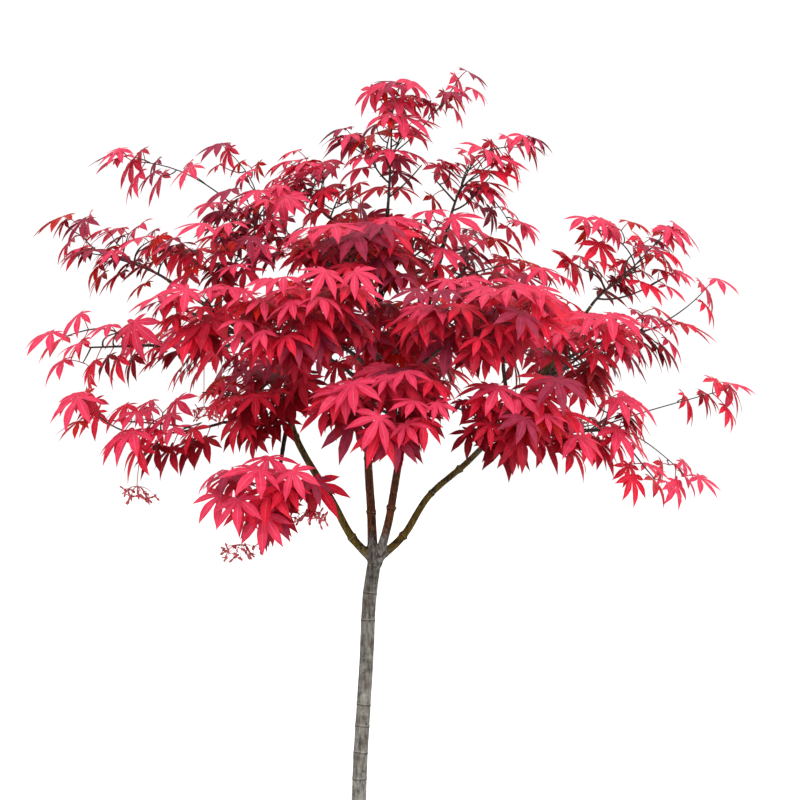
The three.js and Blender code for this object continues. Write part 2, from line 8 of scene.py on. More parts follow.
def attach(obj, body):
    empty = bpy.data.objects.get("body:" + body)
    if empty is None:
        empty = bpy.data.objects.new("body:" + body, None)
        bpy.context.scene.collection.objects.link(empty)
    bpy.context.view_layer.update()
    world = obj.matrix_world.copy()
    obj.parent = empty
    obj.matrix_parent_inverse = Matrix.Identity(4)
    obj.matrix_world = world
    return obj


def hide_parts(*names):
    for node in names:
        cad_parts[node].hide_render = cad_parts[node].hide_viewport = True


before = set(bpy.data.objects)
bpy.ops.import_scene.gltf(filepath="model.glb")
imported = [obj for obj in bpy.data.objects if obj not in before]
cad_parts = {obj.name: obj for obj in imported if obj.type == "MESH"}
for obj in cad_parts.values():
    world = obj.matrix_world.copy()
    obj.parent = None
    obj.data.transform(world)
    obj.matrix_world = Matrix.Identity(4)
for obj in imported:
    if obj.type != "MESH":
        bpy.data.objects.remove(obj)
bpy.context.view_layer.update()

mm = 0.001
up = np.array([0.0, 0.0, 1.0])

# A young maple on a clear stem. Sizes are millimetres until a mesh is written, which is in metres.
# The plan of the tree comes first, and it is the one that the solids have.
trunk = {
    "line": [
        (0, 0, 0), (1, 0, 90), (4, 1, 200), (5, 1, 310),
        (9, 0, 390), (14, 0, 470), (18, 0, 550), (25, 0, 600),
    ],
    "top": 592,  # the stem ends inside the knuckle
    "radius": {"foot": 10.4, "waist": 9.0, "fork": 8.7},
    "flare": {"spread": 11, "height": 26, "lobes": 5, "lobeDepth": 0.28},
    "knuckle": {"middle": (25, 0, 598), "halfHeight": 17, "radius": 10.5},
}
boughs = {
    "bough_left": {
        "mass": "left_high", "start": (24, 0, 594),
        "through": [(-3, 0, 622), (-28, -4, 668), (-71, -5, 742), (-92, 6, 800), (-135, 24, 872)],
    },
    "bough_mid_left": {
        "mass": "top", "start": (22, 3, 600),
        "through": [(20, 5, 655), (16, 5, 735), (24, 10, 830), (32, 8, 930)],
    },
    "bough_mid_right": {
        "mass": "top_right", "start": (30, -4, 600),
        "through": [(42, -8, 645), (54, -8, 715), (70, 4, 790), (84, 12, 880)],
    },
    "bough_right": {
        "mass": "right_high", "start": (28, 0, 596),
        "through": [(59, 0, 624), (92, -2, 675), (143, 0, 720), (200, 4, 782), (245, 6, 840)],
    },
}
# name: bough and share of its length where the limb leaves, middle of the space, reach of the twigs
masses = {
    "low_left": ("bough_left", 0.42, (-94, -190, 689), (72, 60, 46)),
    "front_left": ("bough_left", 0.62, (-172, -150, 892), (66, 58, 38)),
    "left_low": ("bough_left", 0.56, (-228, -60, 756), (104, 64, 38)),
    "left_far": ("bough_left", 0.72, (-316, 20, 862), (70, 56, 32)),
    "left_high": (None, 1, (-300, 60, 972), (86, 66, 56)),
    "mid_left": ("bough_left", 0.5, (-118, -50, 790), (84, 62, 66)),
    "left_mid": ("bough_left", 0.8, (-158, -75, 956), (66, 56, 50)),
    "back_left": ("bough_left", 0.68, (-228, 190, 860), (82, 72, 66)),
    "front_mid_left": ("bough_mid_left", 0.48, (-55, -220, 880), (70, 60, 56)),
    "front_upper": ("bough_mid_left", 0.62, (-5, -150, 950), (72, 56, 52)),
    "high_left": ("bough_mid_left", 0.66, (-120, 0, 1012), (76, 64, 56)),
    "top_left": ("bough_mid_left", 0.78, (-55, 40, 1056), (66, 60, 56)),
    "back_mid_left": ("bough_mid_left", 0.42, (-95, 225, 884), (84, 72, 78)),
    "back_high": ("bough_mid_left", 0.7, (-12, 180, 994), (82, 70, 66)),
    "top": (None, 1, (44, 0, 1098), (58, 56, 80)),
    "front_low": ("bough_mid_right", 0.3, (52, -225, 784), (80, 62, 54)),
    "front_right": ("bough_mid_right", 0.5, (144, -240, 874), (70, 60, 50)),
    "core": ("bough_mid_right", 0.36, (31, -70, 866), (74, 56, 60)),
    "upper_core": ("bough_mid_right", 0.62, (72, -40, 982), (72, 60, 52)),
    "back_mid": ("bough_mid_right", 0.28, (56, 235, 832), (84, 72, 74)),
    "back_high_right": ("bough_mid_right", 0.66, (148, 170, 978), (81, 70, 60)),
    "top_right": (None, 1, (134, 20, 1064), (68, 60, 50)),
    "low_right": ("bough_right", 0.4, (178, -205, 772), (82, 64, 58)),
    "right_low": ("bough_right", 0.5, (301, -50, 758), (80, 68, 58)),
    "far_right_front": ("bough_right", 0.58, (266, -135, 848), (66, 58, 58)),
    "right_far": ("bough_right", 0.72, (364, 50, 882), (68, 60, 42)),
    "back_right": ("bough_right", 0.62, (272, 205, 858), (83, 72, 72)),
    "right_mid": ("bough_right", 0.55, (206, -10, 912), (76, 62, 62)),
    "right_high": (None, 1, (337, 0, 945), (80, 64, 54)),
}
# shoots that stand out of the crown: where each ends, the size of its leaves, how many pairs it carries
sprays = {
    "left_low": [((-326, -60, 794), 0.8, 1)],
    "left_far": [((-346, 28, 842), 0.7, 2)],
    "left_high": [((-364, 88, 1024), 0.65, 2)],
    "high_left": [((-284, 35, 1098), 0.65, 3), ((-160, 20, 1108), 0.5, 1)],
    "top": [((50, -18, 1176), 0.55, 2), ((130, 18, 1200), 0.5, 4)],
    "top_right": [((206, 20, 1114), 0.6, 2), ((196, 40, 1020), 0.55, 1)],
    "right_low": [((368, -42, 698), 0.85, 1), ((418, 28, 699), 0.6, 2), ((464, 0, 808), 0.6, 3)],
    "right_far": [((452, 80, 938), 0.65, 2)],
    "right_high": [((302, -20, 1006), 0.6, 2), ((386, 30, 1000), 0.7, 2)],
}
growth = {
    "bough": (5.6, 2.6),  # radii at the start and the end
    "limb": (3.1, 1.9),
    "stem": (1.9, 1.1),
    "twig": (1.35, 0.8),
    "gap": 0.3,           # kept between one solid and the next
    "twigs": 4,           # to a mass
    "internode": 30,      # from one pair of leaves to the next
    "leafReach": 24,      # room for leaves past a twig's end
    "flatten": 1.3,       # heights count this much more where the spaces meet
    "sprayRoom": 42,      # the size of the space round a shoot that stands out
}
crownHeart = np.array([50.0, 0.0, 800.0])


def vec(point):
    return np.array(point, float)


def unit(v):
    return v / max(np.linalg.norm(v), 1e-9)


def mix(a, b, share):
    return a + (b - a) * share


def draws(seed):  # the solids' own stream of numbers from 0 to 1
    state = seed & 0xFFFFFFFF

    def draw():
        nonlocal state
        state = (state + 0x6D2B79F5) & 0xFFFFFFFF
        t = ((state ^ (state >> 15)) * (1 | state)) & 0xFFFFFFFF
        t = ((t + (((t ^ (t >> 7)) * (61 | t)) & 0xFFFFFFFF)) & 0xFFFFFFFF) ^ t
        return ((t ^ (t >> 14)) & 0xFFFFFFFF) / 4294967296

    return draw


def vary(draw, least, more):
    return least + more * draw()


def sway(draw, width):  # to either side of 0
    return width * (draw() - 0.5)


def clamped(value):
    return min(max(value, 0), 1)


class Path:  # a line of close points, walked by shares of its length
    def __init__(self, points):
        self.points = np.array(points, float)
        self.along = np.concatenate([[0], np.cumsum(np.linalg.norm(np.diff(self.points, axis=0), axis=1))])
        self.length = self.along[-1]

    def at(self, share):
        d = min(max(share, 0), 1) * self.length
        return np.array([np.interp(d, self.along, self.points[:, k]) for k in range(3)])

    def way(self, share):
        return unit(self.at(min(share + 0.01, 1)) - self.at(max(share - 0.01, 0)))

    def spaced(self, steps):
        return [self.at(i / steps) for i in range(steps + 1)]


def throughPoints(points, steps=24):  # a centripetal Catmull-Rom line
    p = [vec(q) for q in points]
    p = [2 * p[0] - p[1]] + p + [2 * p[-1] - p[-2]]
    line = []
    for i in range(1, len(p) - 2):
        a, b, c, d = p[i - 1], p[i], p[i + 1], p[i + 2]
        t = np.cumsum([0] + [np.linalg.norm(q - r) ** 0.5 for q, r in ((b, a), (c, b), (d, c))])
        m = (t[2] - t[1]) * ((b - a) / (t[1] - t[0]) - (c - a) / (t[2] - t[0])) + (c - b)
        n = (t[2] - t[1]) * ((d - c) / (t[3] - t[2]) - (d - b) / (t[3] - t[1])) + (c - b)
        for k in range(steps):
            s = k / steps
            line.append(b + m * s + (3 * (c - b) - 2 * m - n) * s ** 2 + (m + n - 2 * (c - b)) * s ** 3)
    return Path(line + [p[-2]])


def bezier(*points, steps=24):  # of any degree
    line = []
    for k in range(steps + 1):
        level = [vec(q) for q in points]
        while len(level) > 1:
            level = [mix(a, b, k / steps) for a, b in zip(level, level[1:])]
        line.append(level[0])
    return Path(line)


def tube(points, radii, sides):  # a closed tube; its frame is carried along so it never twists
    points = [vec(p) for p in points]
    rings, side = [], None
    for i, point in enumerate(points):
        along = unit(points[min(i + 1, len(points) - 1)] - points[max(i - 1, 0)])
        last = side if side is not None else (np.array([1.0, 0, 0]) if abs(along[2]) > 0.9 else up)
        side = unit(last - along * last.dot(along))
        across = np.cross(along, side)
        for k in range(sides):
            angle = 2 * math.pi * k / sides
            radius = radii(i, angle) if callable(radii) else radii[i]
            rings.append(point + (side * math.cos(angle) + across * math.sin(angle)) * radius)
    faces = []
    for i in range(len(points) - 1):
        for k in range(sides):
            a, b = i * sides + k, i * sides + (k + 1) % sides
            faces.append((a, b, b + sides, a + sides))
    last = (len(points) - 1) * sides
    faces.append(tuple(reversed(range(sides))))
    faces.append(tuple(range(last, last + sides)))
    return np.array(rings), faces


def taper(points, radius, sides, grown=0.0):
    steps = len(points) - 1
    return tube(points, [mix(*radius, i / steps) + grown for i in range(steps + 1)], sides)


def treeOf(solid):
    return BVHTree.FromPolygons([Vector(v) for v in solid[0]], solid[1])


def meshFrom(name, solids):  # one mesh of many closed bodies
    vertices, faces, first = [], [], 0
    for points, polygons in solids:
        vertices.append(points)
        faces.extend(tuple(k + first for k in polygon) for polygon in polygons)
        first += len(points)
    mesh = bpy.data.meshes.new(name)
    mesh.from_pydata(np.vstack(vertices) * mm, [], faces)
    mesh.update()
    return mesh


def setMarks(mesh, marks):  # numbers at each vertex, for the materials to read
    for key, values in marks.items():
        mesh.attributes.new(key, "FLOAT", "POINT").data.foreach_set("value", values)


def addPiece(name, mesh, material, nodes, smooth=True):
    piece = bpy.data.objects.new(name, mesh)
    bpy.context.scene.collection.objects.link(piece)
    mesh.materials.append(material)
    if smooth:
        mesh.shade_smooth()
    else:
        mesh.shade_flat()
    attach(piece, "root")
    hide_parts(*nodes)
    print("   ", name, sum(len(p.vertices) - 2 for p in mesh.polygons), "triangles")


def linear(code):  # an sRGB hex colour as the shader wants it
    parts = [int(code[i:i + 2], 16) / 255 for i in (1, 3, 5)]
    return (*[c / 12.92 if c <= 0.04045 else ((c + 0.055) / 1.055) ** 2.4 for c in parts], 1)


def addNode(tree, kind, settings=None, **links):  # a setting can be a socket to link, or a ramp's stops
    node = tree.nodes.new(kind)
    for key, value in (settings or {}).items():
        if key == "stops":
            for element, (place, code) in zip(node.color_ramp.elements, value):
                element.position = place
                element.color = linear(code)
        elif isinstance(value, bpy.types.NodeSocket):
            tree.links.new(value, node.inputs[key])
        elif isinstance(key, str) and hasattr(node, key):
            setattr(node, key, value)
        else:
            node.inputs[key].default_value = value
    for key, source in links.items():
        tree.links.new(source, node.inputs[key.replace("_", " ")])
    return node


def newMaterial(name):
    material = bpy.data.materials.new(name)
    material.use_nodes = True
    material.node_tree.nodes.clear()
    return material, material.node_tree


# Thin living leaf, grown: a soft satin upper face with a paler midrib, and light comes through it
# redder than it goes in.
leafLook = {
    "mottleMm": 9,      # soft patches between the veins
    "grainMm": 1.2,     # the net of small veins, drawn coarser than life so that it shows
    "grainBumpMm": 0.3,
    "veinMm": 4.5,      # between side veins
    "veinSlantMm": 5.0,  # forwards, from the midrib to the edge
    "veinBumpMm": 0.6,
    "roughness": 0.5,
    "through": 0.3,
    # deep_red is painted shade for the crown's shaded leaves, and bright_crimson and pink_crimson are painted
    # light for its best lit ones
    "tints": {          # light, dark, glow through it, midrib
        "bright_crimson": ("#E02342", "#C41732", "#F0304A", "#EC6478"),
        "pink_crimson": ("#E23C60", "#CA2E50", "#F04464", "#EE7C94"),
        "crimson": ("#BA1B33", "#9C122A", "#D82236", "#C44054"),
        "deep_red": ("#8E101F", "#730A18", "#B8141F", "#982834"),
        "orange_red": ("#C8190F", "#A4110B", "#DC240C", "#D44A3A"),
        "purple_red": ("#A62C4A", "#88203A", "#C23350", "#B85068"),
    },
}


def leafMaterial(name, light, dark, glow, rib):
    material, tree = newMaterial("leaf_" + name)
    place = addNode(tree, "ShaderNodeTexCoord").outputs["Object"]
    mottle = addNode(
        tree, "ShaderNodeTexNoise", {"Scale": 1 / (leafLook["mottleMm"] * mm), "Detail": 3.0, "Roughness": 0.55},
        Vector=place,
    )
    shade = addNode(
        tree, "ShaderNodeValToRGB", {"stops": [(0.32, dark), (0.62, light)]}, Fac=mottle.outputs["Fac"]
    )
    grain = addNode(
        tree, "ShaderNodeTexVoronoi", {"feature": "DISTANCE_TO_EDGE", "Scale": 1 / (leafLook["grainMm"] * mm)},
        Vector=place,
    )
    across = addNode(tree, "ShaderNodeAttribute", {"attribute_name": "rib"}).outputs["Fac"]
    along = addNode(tree, "ShaderNodeAttribute", {"attribute_name": "along"}).outputs["Fac"]
    lane = addNode(
        tree, "ShaderNodeMath", {"operation": "MULTIPLY_ADD", 0: across, 1: -leafLook["veinSlantMm"], 2: along}
    )
    strip = addNode(tree, "ShaderNodeCombineXYZ", X=lane.outputs[0])
    bandAtScaleOne = 0.314  # from one band to the next of a wave whose scale is 1
    veins = addNode(
        tree, "ShaderNodeTexWave", {"Scale": bandAtScaleOne / leafLook["veinMm"]}, Vector=strip.outputs[0]
    )
    midrib = addNode(
        tree, "ShaderNodeValToRGB", {"stops": [(0.03, "#BCBCBC"), (0.12, "#000000")]}, Fac=across
    )
    ribbed = addNode(
        tree, "ShaderNodeMixRGB", {"Color2": linear(rib)}, Fac=midrib.outputs[0], Color1=shade.outputs["Color"]
    )
    net = addNode(
        tree, "ShaderNodeBump", {"Strength": 0.25, "Distance": leafLook["grainBumpMm"] * mm},
        Height=grain.outputs["Distance"],
    )
    bump = addNode(
        tree, "ShaderNodeBump", {"Strength": 0.3, "Distance": leafLook["veinBumpMm"] * mm},
        Height=veins.outputs["Fac"], Normal=net.outputs[0],
    )
    skin = addNode(
        tree, "ShaderNodeBsdfPrincipled",
        {"Roughness": leafLook["roughness"], "IOR": 1.42, "Specular IOR Level": 0.25},
        Base_Color=ribbed.outputs[0], Normal=bump.outputs["Normal"],
    )
    through = addNode(tree, "ShaderNodeBsdfTranslucent", {"Color": linear(glow)})
    both = addNode(
        tree, "ShaderNodeMixShader", {0: leafLook["through"], 1: skin.outputs[0], 2: through.outputs[0]}
    )
    addNode(tree, "ShaderNodeOutputMaterial", Surface=both.outputs[0])
    return material


# Maple bark, grown: on the stem grey, streaked along and wrinkled across, with corky lenticels and brown
# patches, so it reads as old and dry; on the boughs smooth olive or russet, dark wine-brown to their tips.
barkLook = {
    "streakMm": 3.5,
    "streakStretch": 0.24,  # turns along the stem for each across it
    "wrinkleMm": 16,
    "wrinkleStretch": 3.2,
    "wrinkled": 0.27,       # the wrinkles' share in the tone
    "bumpMm": 1.2,
    "patchMm": 22,
    "lenticelMm": 4.5,
    "grey": ("#3E3D39", "#7F7D76"),
    "patch": "#493A33",
    "olive": ("#221B03", "#5C4C10"),
    "russet": ("#1E0C05", "#62320F"),
    "tip": ("#120907", "#32201A"),
    "lenticel": "#B0AAA2",
    "roughness": 0.8,
}
barkMarks = ("young", "russet", "tip", "groove", "lip")  # what a bark mesh carries at each vertex


def barkMaterial():
    material, tree = newMaterial("maple_bark")
    place = addNode(tree, "ShaderNodeTexCoord").outputs["Object"]
    longer = addNode(tree, "ShaderNodeMapping", {"Scale": (1, 1, barkLook["streakStretch"])}, Vector=place)
    wider = addNode(tree, "ShaderNodeMapping", {"Scale": (1, 1, barkLook["wrinkleStretch"])}, Vector=place)
    streaks = addNode(
        tree, "ShaderNodeTexNoise", {"Scale": 1 / (barkLook["streakMm"] * mm), "Detail": 5.0, "Roughness": 0.62},
        Vector=longer.outputs[0],
    )
    wrinkles = addNode(
        tree, "ShaderNodeTexNoise", {"Scale": 1 / (barkLook["wrinkleMm"] * mm), "Detail": 4.0, "Roughness": 0.6},
        Vector=wider.outputs[0],
    )
    grain = addNode(
        tree, "ShaderNodeMixRGB", {"Fac": barkLook["wrinkled"]},
        Color1=streaks.outputs["Fac"], Color2=wrinkles.outputs["Fac"],
    )
    patches = addNode(
        tree, "ShaderNodeTexNoise", {"Scale": 1 / (barkLook["patchMm"] * mm), "Detail": 3.0}, Vector=place
    )
    dots = addNode(
        tree, "ShaderNodeTexVoronoi", {"Scale": 1 / (barkLook["lenticelMm"] * mm), "Randomness": 1.0},
        Vector=wider.outputs[0],
    )
    marks = {
        key: addNode(tree, "ShaderNodeAttribute", {"attribute_name": key}).outputs["Fac"] for key in barkMarks
    }
    black = "#000000"
    ramps = {  # what each reads, its two places and colours; the greys are how much of a layer shows
        **{key: (grain.outputs[0], (0.39, 0.59), barkLook[key]) for key in ("grey", "olive", "russet", "tip")},
        "patch": (patches.outputs["Fac"], (0.48, 0.66), (black, "#C8C8C8")),
        "spots": (dots.outputs["Distance"], (0.1, 0.22), ("#707070", black)),
        "groove": (marks["groove"], (0.62, 0.86), (black, "#D8D8D8")),
        "lip": (marks["lip"], (0.6, 0.9), (black, "#8A8A8A")),
    }
    tone = {
        key: addNode(tree, "ShaderNodeValToRGB", {"stops": list(zip(at, codes))}, Fac=reads).outputs[0]
        for key, (reads, at, codes) in ramps.items()
    }
    fresh = addNode(tree, "ShaderNodeMixRGB", Fac=marks["russet"], Color1=tone["olive"], Color2=tone["russet"])
    colour = tone["grey"]
    for share, over in (
        (tone["patch"], linear(barkLook["patch"])),
        (marks["young"], fresh.outputs[0]),
        (marks["tip"], tone["tip"]),
        (tone["spots"], linear(barkLook["lenticel"])),
        (tone["lip"], linear(barkLook["lenticel"])),  # a ring scar: a dark groove under a pale lip
        (tone["groove"], linear(barkLook["tip"][0])),
    ):
        colour = addNode(tree, "ShaderNodeMixRGB", {"Color2": over}, Fac=share, Color1=colour).outputs[0]
    height = addNode(tree, "ShaderNodeMath", {"operation": "ADD", 0: grain.outputs[0], 1: tone["spots"]})
    bump = addNode(
        tree, "ShaderNodeBump", {"Strength": 0.7, "Distance": barkLook["bumpMm"] * mm}, Height=height.outputs[0]
    )
    skin = addNode(
        tree, "ShaderNodeBsdfPrincipled",
        {"Roughness": barkLook["roughness"], "IOR": 1.45, "Specular IOR Level": 0.2},
        Base_Color=colour, Normal=bump.outputs[0],
    )
    addNode(tree, "ShaderNodeOutputMaterial", Surface=skin.outputs[0])
    return material


# One-year wood, grown: thin, smooth, dark wine-brown, with a faint shine.
twigLook = {"colours": ("#1C0E0C", "#3C1E1A"), "streakMm": 3, "roughness": 0.55, "bumpMm": 0.2}
# Leaf stalk, grown: smooth and crimson, a little darker than the leaf.
stalkLook = {"colours": ("#8E1626", "#B5243A"), "streakMm": 6, "roughness": 0.45, "bumpMm": 0.1}
# Winged seed, grown: papery, mottled from wine-red to dull pink, so it reads as dry and light.
seedLook = {"colours": ("#7A1828", "#C2525C"), "streakMm": 2, "roughness": 0.6, "bumpMm": 0.1}


def streakedMaterial(name, look):
    material, tree = newMaterial(name)
    place = addNode(tree, "ShaderNodeTexCoord").outputs["Object"]
    streaks = addNode(
        tree, "ShaderNodeTexNoise", {"Scale": 1 / (look["streakMm"] * mm), "Detail": 4.0}, Vector=place
    )
    stops = list(zip((0.35, 0.65), look["colours"]))
    shade = addNode(tree, "ShaderNodeValToRGB", {"stops": stops}, Fac=streaks.outputs["Fac"])
    bump = addNode(
        tree, "ShaderNodeBump", {"Strength": 0.5, "Distance": look["bumpMm"] * mm}, Height=streaks.outputs["Fac"]
    )
    skin = addNode(
        tree, "ShaderNodeBsdfPrincipled", {"Roughness": look["roughness"], "IOR": 1.45},
        Base_Color=shade.outputs[0], Normal=bump.outputs[0],
    )
    addNode(tree, "ShaderNodeOutputMaterial", Surface=skin.outputs[0])
    return material


print("materials")
bark = barkMaterial()
twigBark = streakedMaterial("young_twig_bark", twigLook)
stalkSkin = streakedMaterial("leaf_stalk", stalkLook)
seedSkin = streakedMaterial("seed_wing", seedLook)
leafMaterials = {name: leafMaterial(name, *codes) for name, codes in leafLook["tints"].items()}


def limbTip(centre, reach, start):  # a limb ends just inside the near edge of its mass's reach
    inside = 0.8  # of the reach, from the middle
    return vec(centre) + unit(start - vec(centre)) * vec(reach) * inside


def limbLine(boughPath, share, centre, reach):  # leaves the bough forwards, then levels out
    start, along = boughPath.at(share), boughPath.way(share)
    tip = limbTip(centre, reach, start)
    length = np.linalg.norm(tip - start)
    level = unit(unit((tip - start) * [1, 1, 0]) + up * 0.12)
    return bezier(start, start + along * length * 0.2 + level * length * 0.12, tip - level * length * 0.35, tip)


trunkPath = throughPoints(trunk["line"])
limbs = {}
for name, bough in boughs.items():
    _, _, centre, reach = masses[bough["mass"]]
    tip = limbTip(centre, reach, vec(bough["through"][-1]))
    limbs[name] = throughPoints([bough["start"], *bough["through"], tip])
for name, (on, share, centre, reach) in masses.items():
    if on:
        limbs["limb_" + name] = limbLine(limbs[on], share, centre, reach)
carrier = {name: limbs["limb_" + name] for name, row in masses.items() if row[0]}
carrier.update({bough["mass"]: limbs[name] for name, bough in boughs.items()})


def trunkRadius(z, angle=0.0):
    radius, flare = trunk["radius"], trunk["flare"]
    half = trunk["line"][-1][2] / 2
    stem = np.interp(z, [0, half, 2 * half], [radius["foot"], radius["waist"], radius["fork"]])
    lobe = 1 + flare["lobeDepth"] * math.cos(flare["lobes"] * angle)
    return stem + flare["spread"] * math.exp(-z / flare["height"]) * lobe


def trunkSolid(step=4.0, sides=48):
    heights = np.arange(0, trunk["top"], step)
    line = trunkPath.points
    points = [(np.interp(z, line[:, 2], line[:, 0]), np.interp(z, line[:, 2], line[:, 1]), z) for z in heights]
    return tube(points, lambda i, angle: trunkRadius(heights[i], angle), sides)


def knuckleSolid(rings=13, sides=32):  # the swollen place where the boughs part
    knuckle = trunk["knuckle"]
    middle, half, radius = vec(knuckle["middle"]), knuckle["halfHeight"], knuckle["radius"]
    lastRing = 1.4  # radians from its waist, so that it ends in a small flat
    levels = np.sin(np.linspace(-lastRing, lastRing, rings))
    return tube([middle + up * half * s for s in levels], [radius * math.sqrt(1 - s * s) for s in levels], sides)


# the space each mass keeps to: a point belongs to the place that it is nearest to, against the place's size
massNames = list(masses)
places = []
for owner, name in enumerate(massNames):
    centre, reach = vec(masses[name][2]), masses[name][3]
    places.append((centre, sum(reach) / 3, owner))
    for tip, _, _ in sprays.get(name, []):
        places.append((vec(tip), growth["sprayRoom"], owner))
        places.append((mix(centre, vec(tip), 0.5), growth["sprayRoom"], owner))
stretch = np.array([1, 1, growth["flatten"]])
placeAt = np.array([p[0] * stretch for p in places])
placeSize = np.array([p[1] for p in places])
placeOwner = np.array([p[2] for p in places])


def inSpace(point, owner, clearance):
    power = ((placeAt - point * stretch) ** 2).sum(1) - placeSize ** 2
    own = np.where(placeOwner == owner, power, np.inf).argmin()
    others = placeOwner != owner
    room = (power[others] - power[own]) / (2 * np.linalg.norm(placeAt[others] - placeAt[own], axis=1))
    return bool((room > clearance).all())


leafShape = {
    "turns": (-126, -84, -42, 0, 42, 84, 126),
    "reaches": (0.36, 0.7, 0.93, 1.0, 0.93, 0.7, 0.36),
    "heel": (0.03, 0.05),  # the leaf's back corners, behind its stalk and to each side
    "sinus": 0.15,      # the notches reach in this far, of the leaf's length
    "foot": 0.35,       # half a lobe's width at its foot, of the notches' reach
    "swell": 0.76,      # how much a lobe widens past its foot
    "tooth": 0.03,      # the saw edge, of the lobe's width
    "midrib": 0.45,     # thickness there, mm; the edge is sharp
    "stations": 8,
}


# rows of lobe, distance along it, offset to the side and which face, and the faces over them
def leafTemplate(stations):
    turns, reaches = leafShape["turns"], leafShape["reaches"]
    lastLobe = len(turns) - 1
    rows, faces = [(3, 0, 0, 1), (3, 0, 0, -1)], []
    sinusRow = {}

    def sinus(i):  # the notch after lobe i, shared by two lobes
        if i not in sinusRow:
            sinusRow[i] = len(rows)
            if i in (-1, lastLobe):
                back, side = leafShape["heel"]
                rows.append((max(i, 0), back, -side if i == -1 else side, 0))
            else:
                gap = math.radians(turns[i + 1] - turns[i]) / 2
                reach = leafShape["sinus"] * min(1, 0.5 * (reaches[i] + reaches[i + 1]) + 0.1)
                rows.append((i, reach * math.cos(gap), reach * math.sin(gap), 0))
        return sinusRow[i]

    for i, reach in enumerate(reaches):
        before, after = sinus(i - 1), sinus(i)
        foot = leafShape["sinus"] * 0.9 * min(1, reach + 0.15)
        lastTop, lastUnder, lastLeft, lastRight = 0, 1, before, after
        width = leafShape["sinus"] * leafShape["foot"]
        for j in range(stations):
            s = j / stations
            t = mix(foot, reach, s)
            top = len(rows)
            rows.extend([(i, t, 0, 1), (i, t, 0, -1)])
            if j:
                h = width * (1 - s) ** 2 + leafShape["swell"] * reach * s ** 1.3 * (1 - s) ** 1.5
                h *= 1 + leafShape["tooth"] * (1 if j % 2 else -1)
                left, right = len(rows), len(rows) + 1
                rows.extend([(i, t, -h, 0), (i, t, h, 0)])
                faces += [(lastTop, top, left, lastLeft), (lastTop, lastRight, right, top)]
                faces += [(lastUnder, lastLeft, left, top + 1), (lastUnder, top + 1, right, lastRight)]
            else:
                left, right = before, after
                faces += [(0, top, left), (0, right, top), (1, left, top + 1), (1, top + 1, right)]
            lastTop, lastUnder, lastLeft, lastRight = top, top + 1, left, right
        tip = len(rows)
        rows.append((i, reach, 0, 0))
        faces += [(lastTop, tip, lastLeft), (lastTop, lastRight, tip)]
        faces += [(lastUnder, lastLeft, tip), (lastUnder, tip, lastRight)]
    faces += [(0, sinusRow[-1], 1), (0, 1, sinusRow[lastLobe])]
    return np.array(rows, float), faces


fullLeaf = leafTemplate(leafShape["stations"])
plainLeaf = leafTemplate(2)  # for finding room and light
leafForm = {                 # pairs are the least, and how much more by chance
    "spread": (0.92, 0.14),  # of the fan of lobes
    "stray": 7,              # degrees that a lobe turns aside
    "bend": (0.75, 0.5),     # of the leaf's droop, for each lobe
    "twist": 0.7,
    "fold": (0.05, 0.3),     # up from the midrib to the edge
    "slope": 0.12,
}


def leafBody(leaf, template):
    rows, faces = template
    draw = draws(leaf["seed"] + 77)
    lobe = rows[:, 0].astype(int)
    spread = vary(draw, *leafForm["spread"])
    turn = np.array([math.radians(a * spread + sway(draw, leafForm["stray"])) for a in leafShape["turns"]])[lobe]
    bend = np.array([leaf["droop"] * vary(draw, *leafForm["bend"]) for _ in leafShape["turns"]])[lobe]
    twist = np.array([sway(draw, leafForm["twist"]) for _ in leafShape["turns"]])[lobe]
    fold = vary(draw, *leafForm["fold"])
    slope = leafForm["slope"] * (draw() - 0.3)
    t, h, face = rows[:, 1], rows[:, 2], rows[:, 3]
    theta = slope + bend * t
    run = (np.sin(theta) - math.sin(slope)) / bend
    fall = (np.cos(theta) - math.cos(slope)) / bend
    lift = fold * np.abs(h) + twist * h * t + face * leafShape["midrib"] / (2 * leaf["size"])
    run, fall = run + np.sin(theta) * lift, fall + np.cos(theta) * lift
    way = np.outer(np.cos(turn), leaf["axis"]) + np.outer(np.sin(turn), leaf["side"])
    over = np.outer(-np.sin(turn), leaf["axis"]) + np.outer(np.cos(turn), leaf["side"])
    body = way * run[:, None] + over * h[:, None] + np.outer(fall, leaf["face"])
    return leaf["head"] + body * leaf["size"], faces


def leafMarks(leaf, template):  # 0 on a midrib and 1 at the edge, and mm along the lobe
    rows = template[0]
    return (rows[:, 2] != 0).astype(float), rows[:, 1] * leaf["size"]


leafPose = {                 # pairs are the least, and how much more by chance
    "length": 60,            # of the middle lobe
    "lengths": (0.8, 0.36),
    "life": 0.82,            # real leaves, against the solids' larger ones
    "sprayLife": 1.2,        # the solids' sprays have small ones
    "spraySize": 0.75,       # leaves up to this size are on a spray
    "stalk": 24,
    "stalks": (0.7, 0.6),
    "stalkRadius": (0.75, 0.5),
    "stalkAhead": (0.3, 0.3),
    "stalkOut": 0.8,
    "stalkLift": (0.1, 0.35),
    "hang": (1.2, 0.45),     # how leaves hang low in the crown and at its top
    "hangFrom": (700, 1060),
    "sprayHang": 1.3,
    "fall": (0.2, 0.5),
    "outward": (0.4, 0.4),
    "upward": (0.7, 0.4),
    "tilt": 0.8,
    "droop": (0.4, 0.5),
    "sunny": (0.1, -0.75, 0.0),  # the leaves lean a little to the sunny side
}


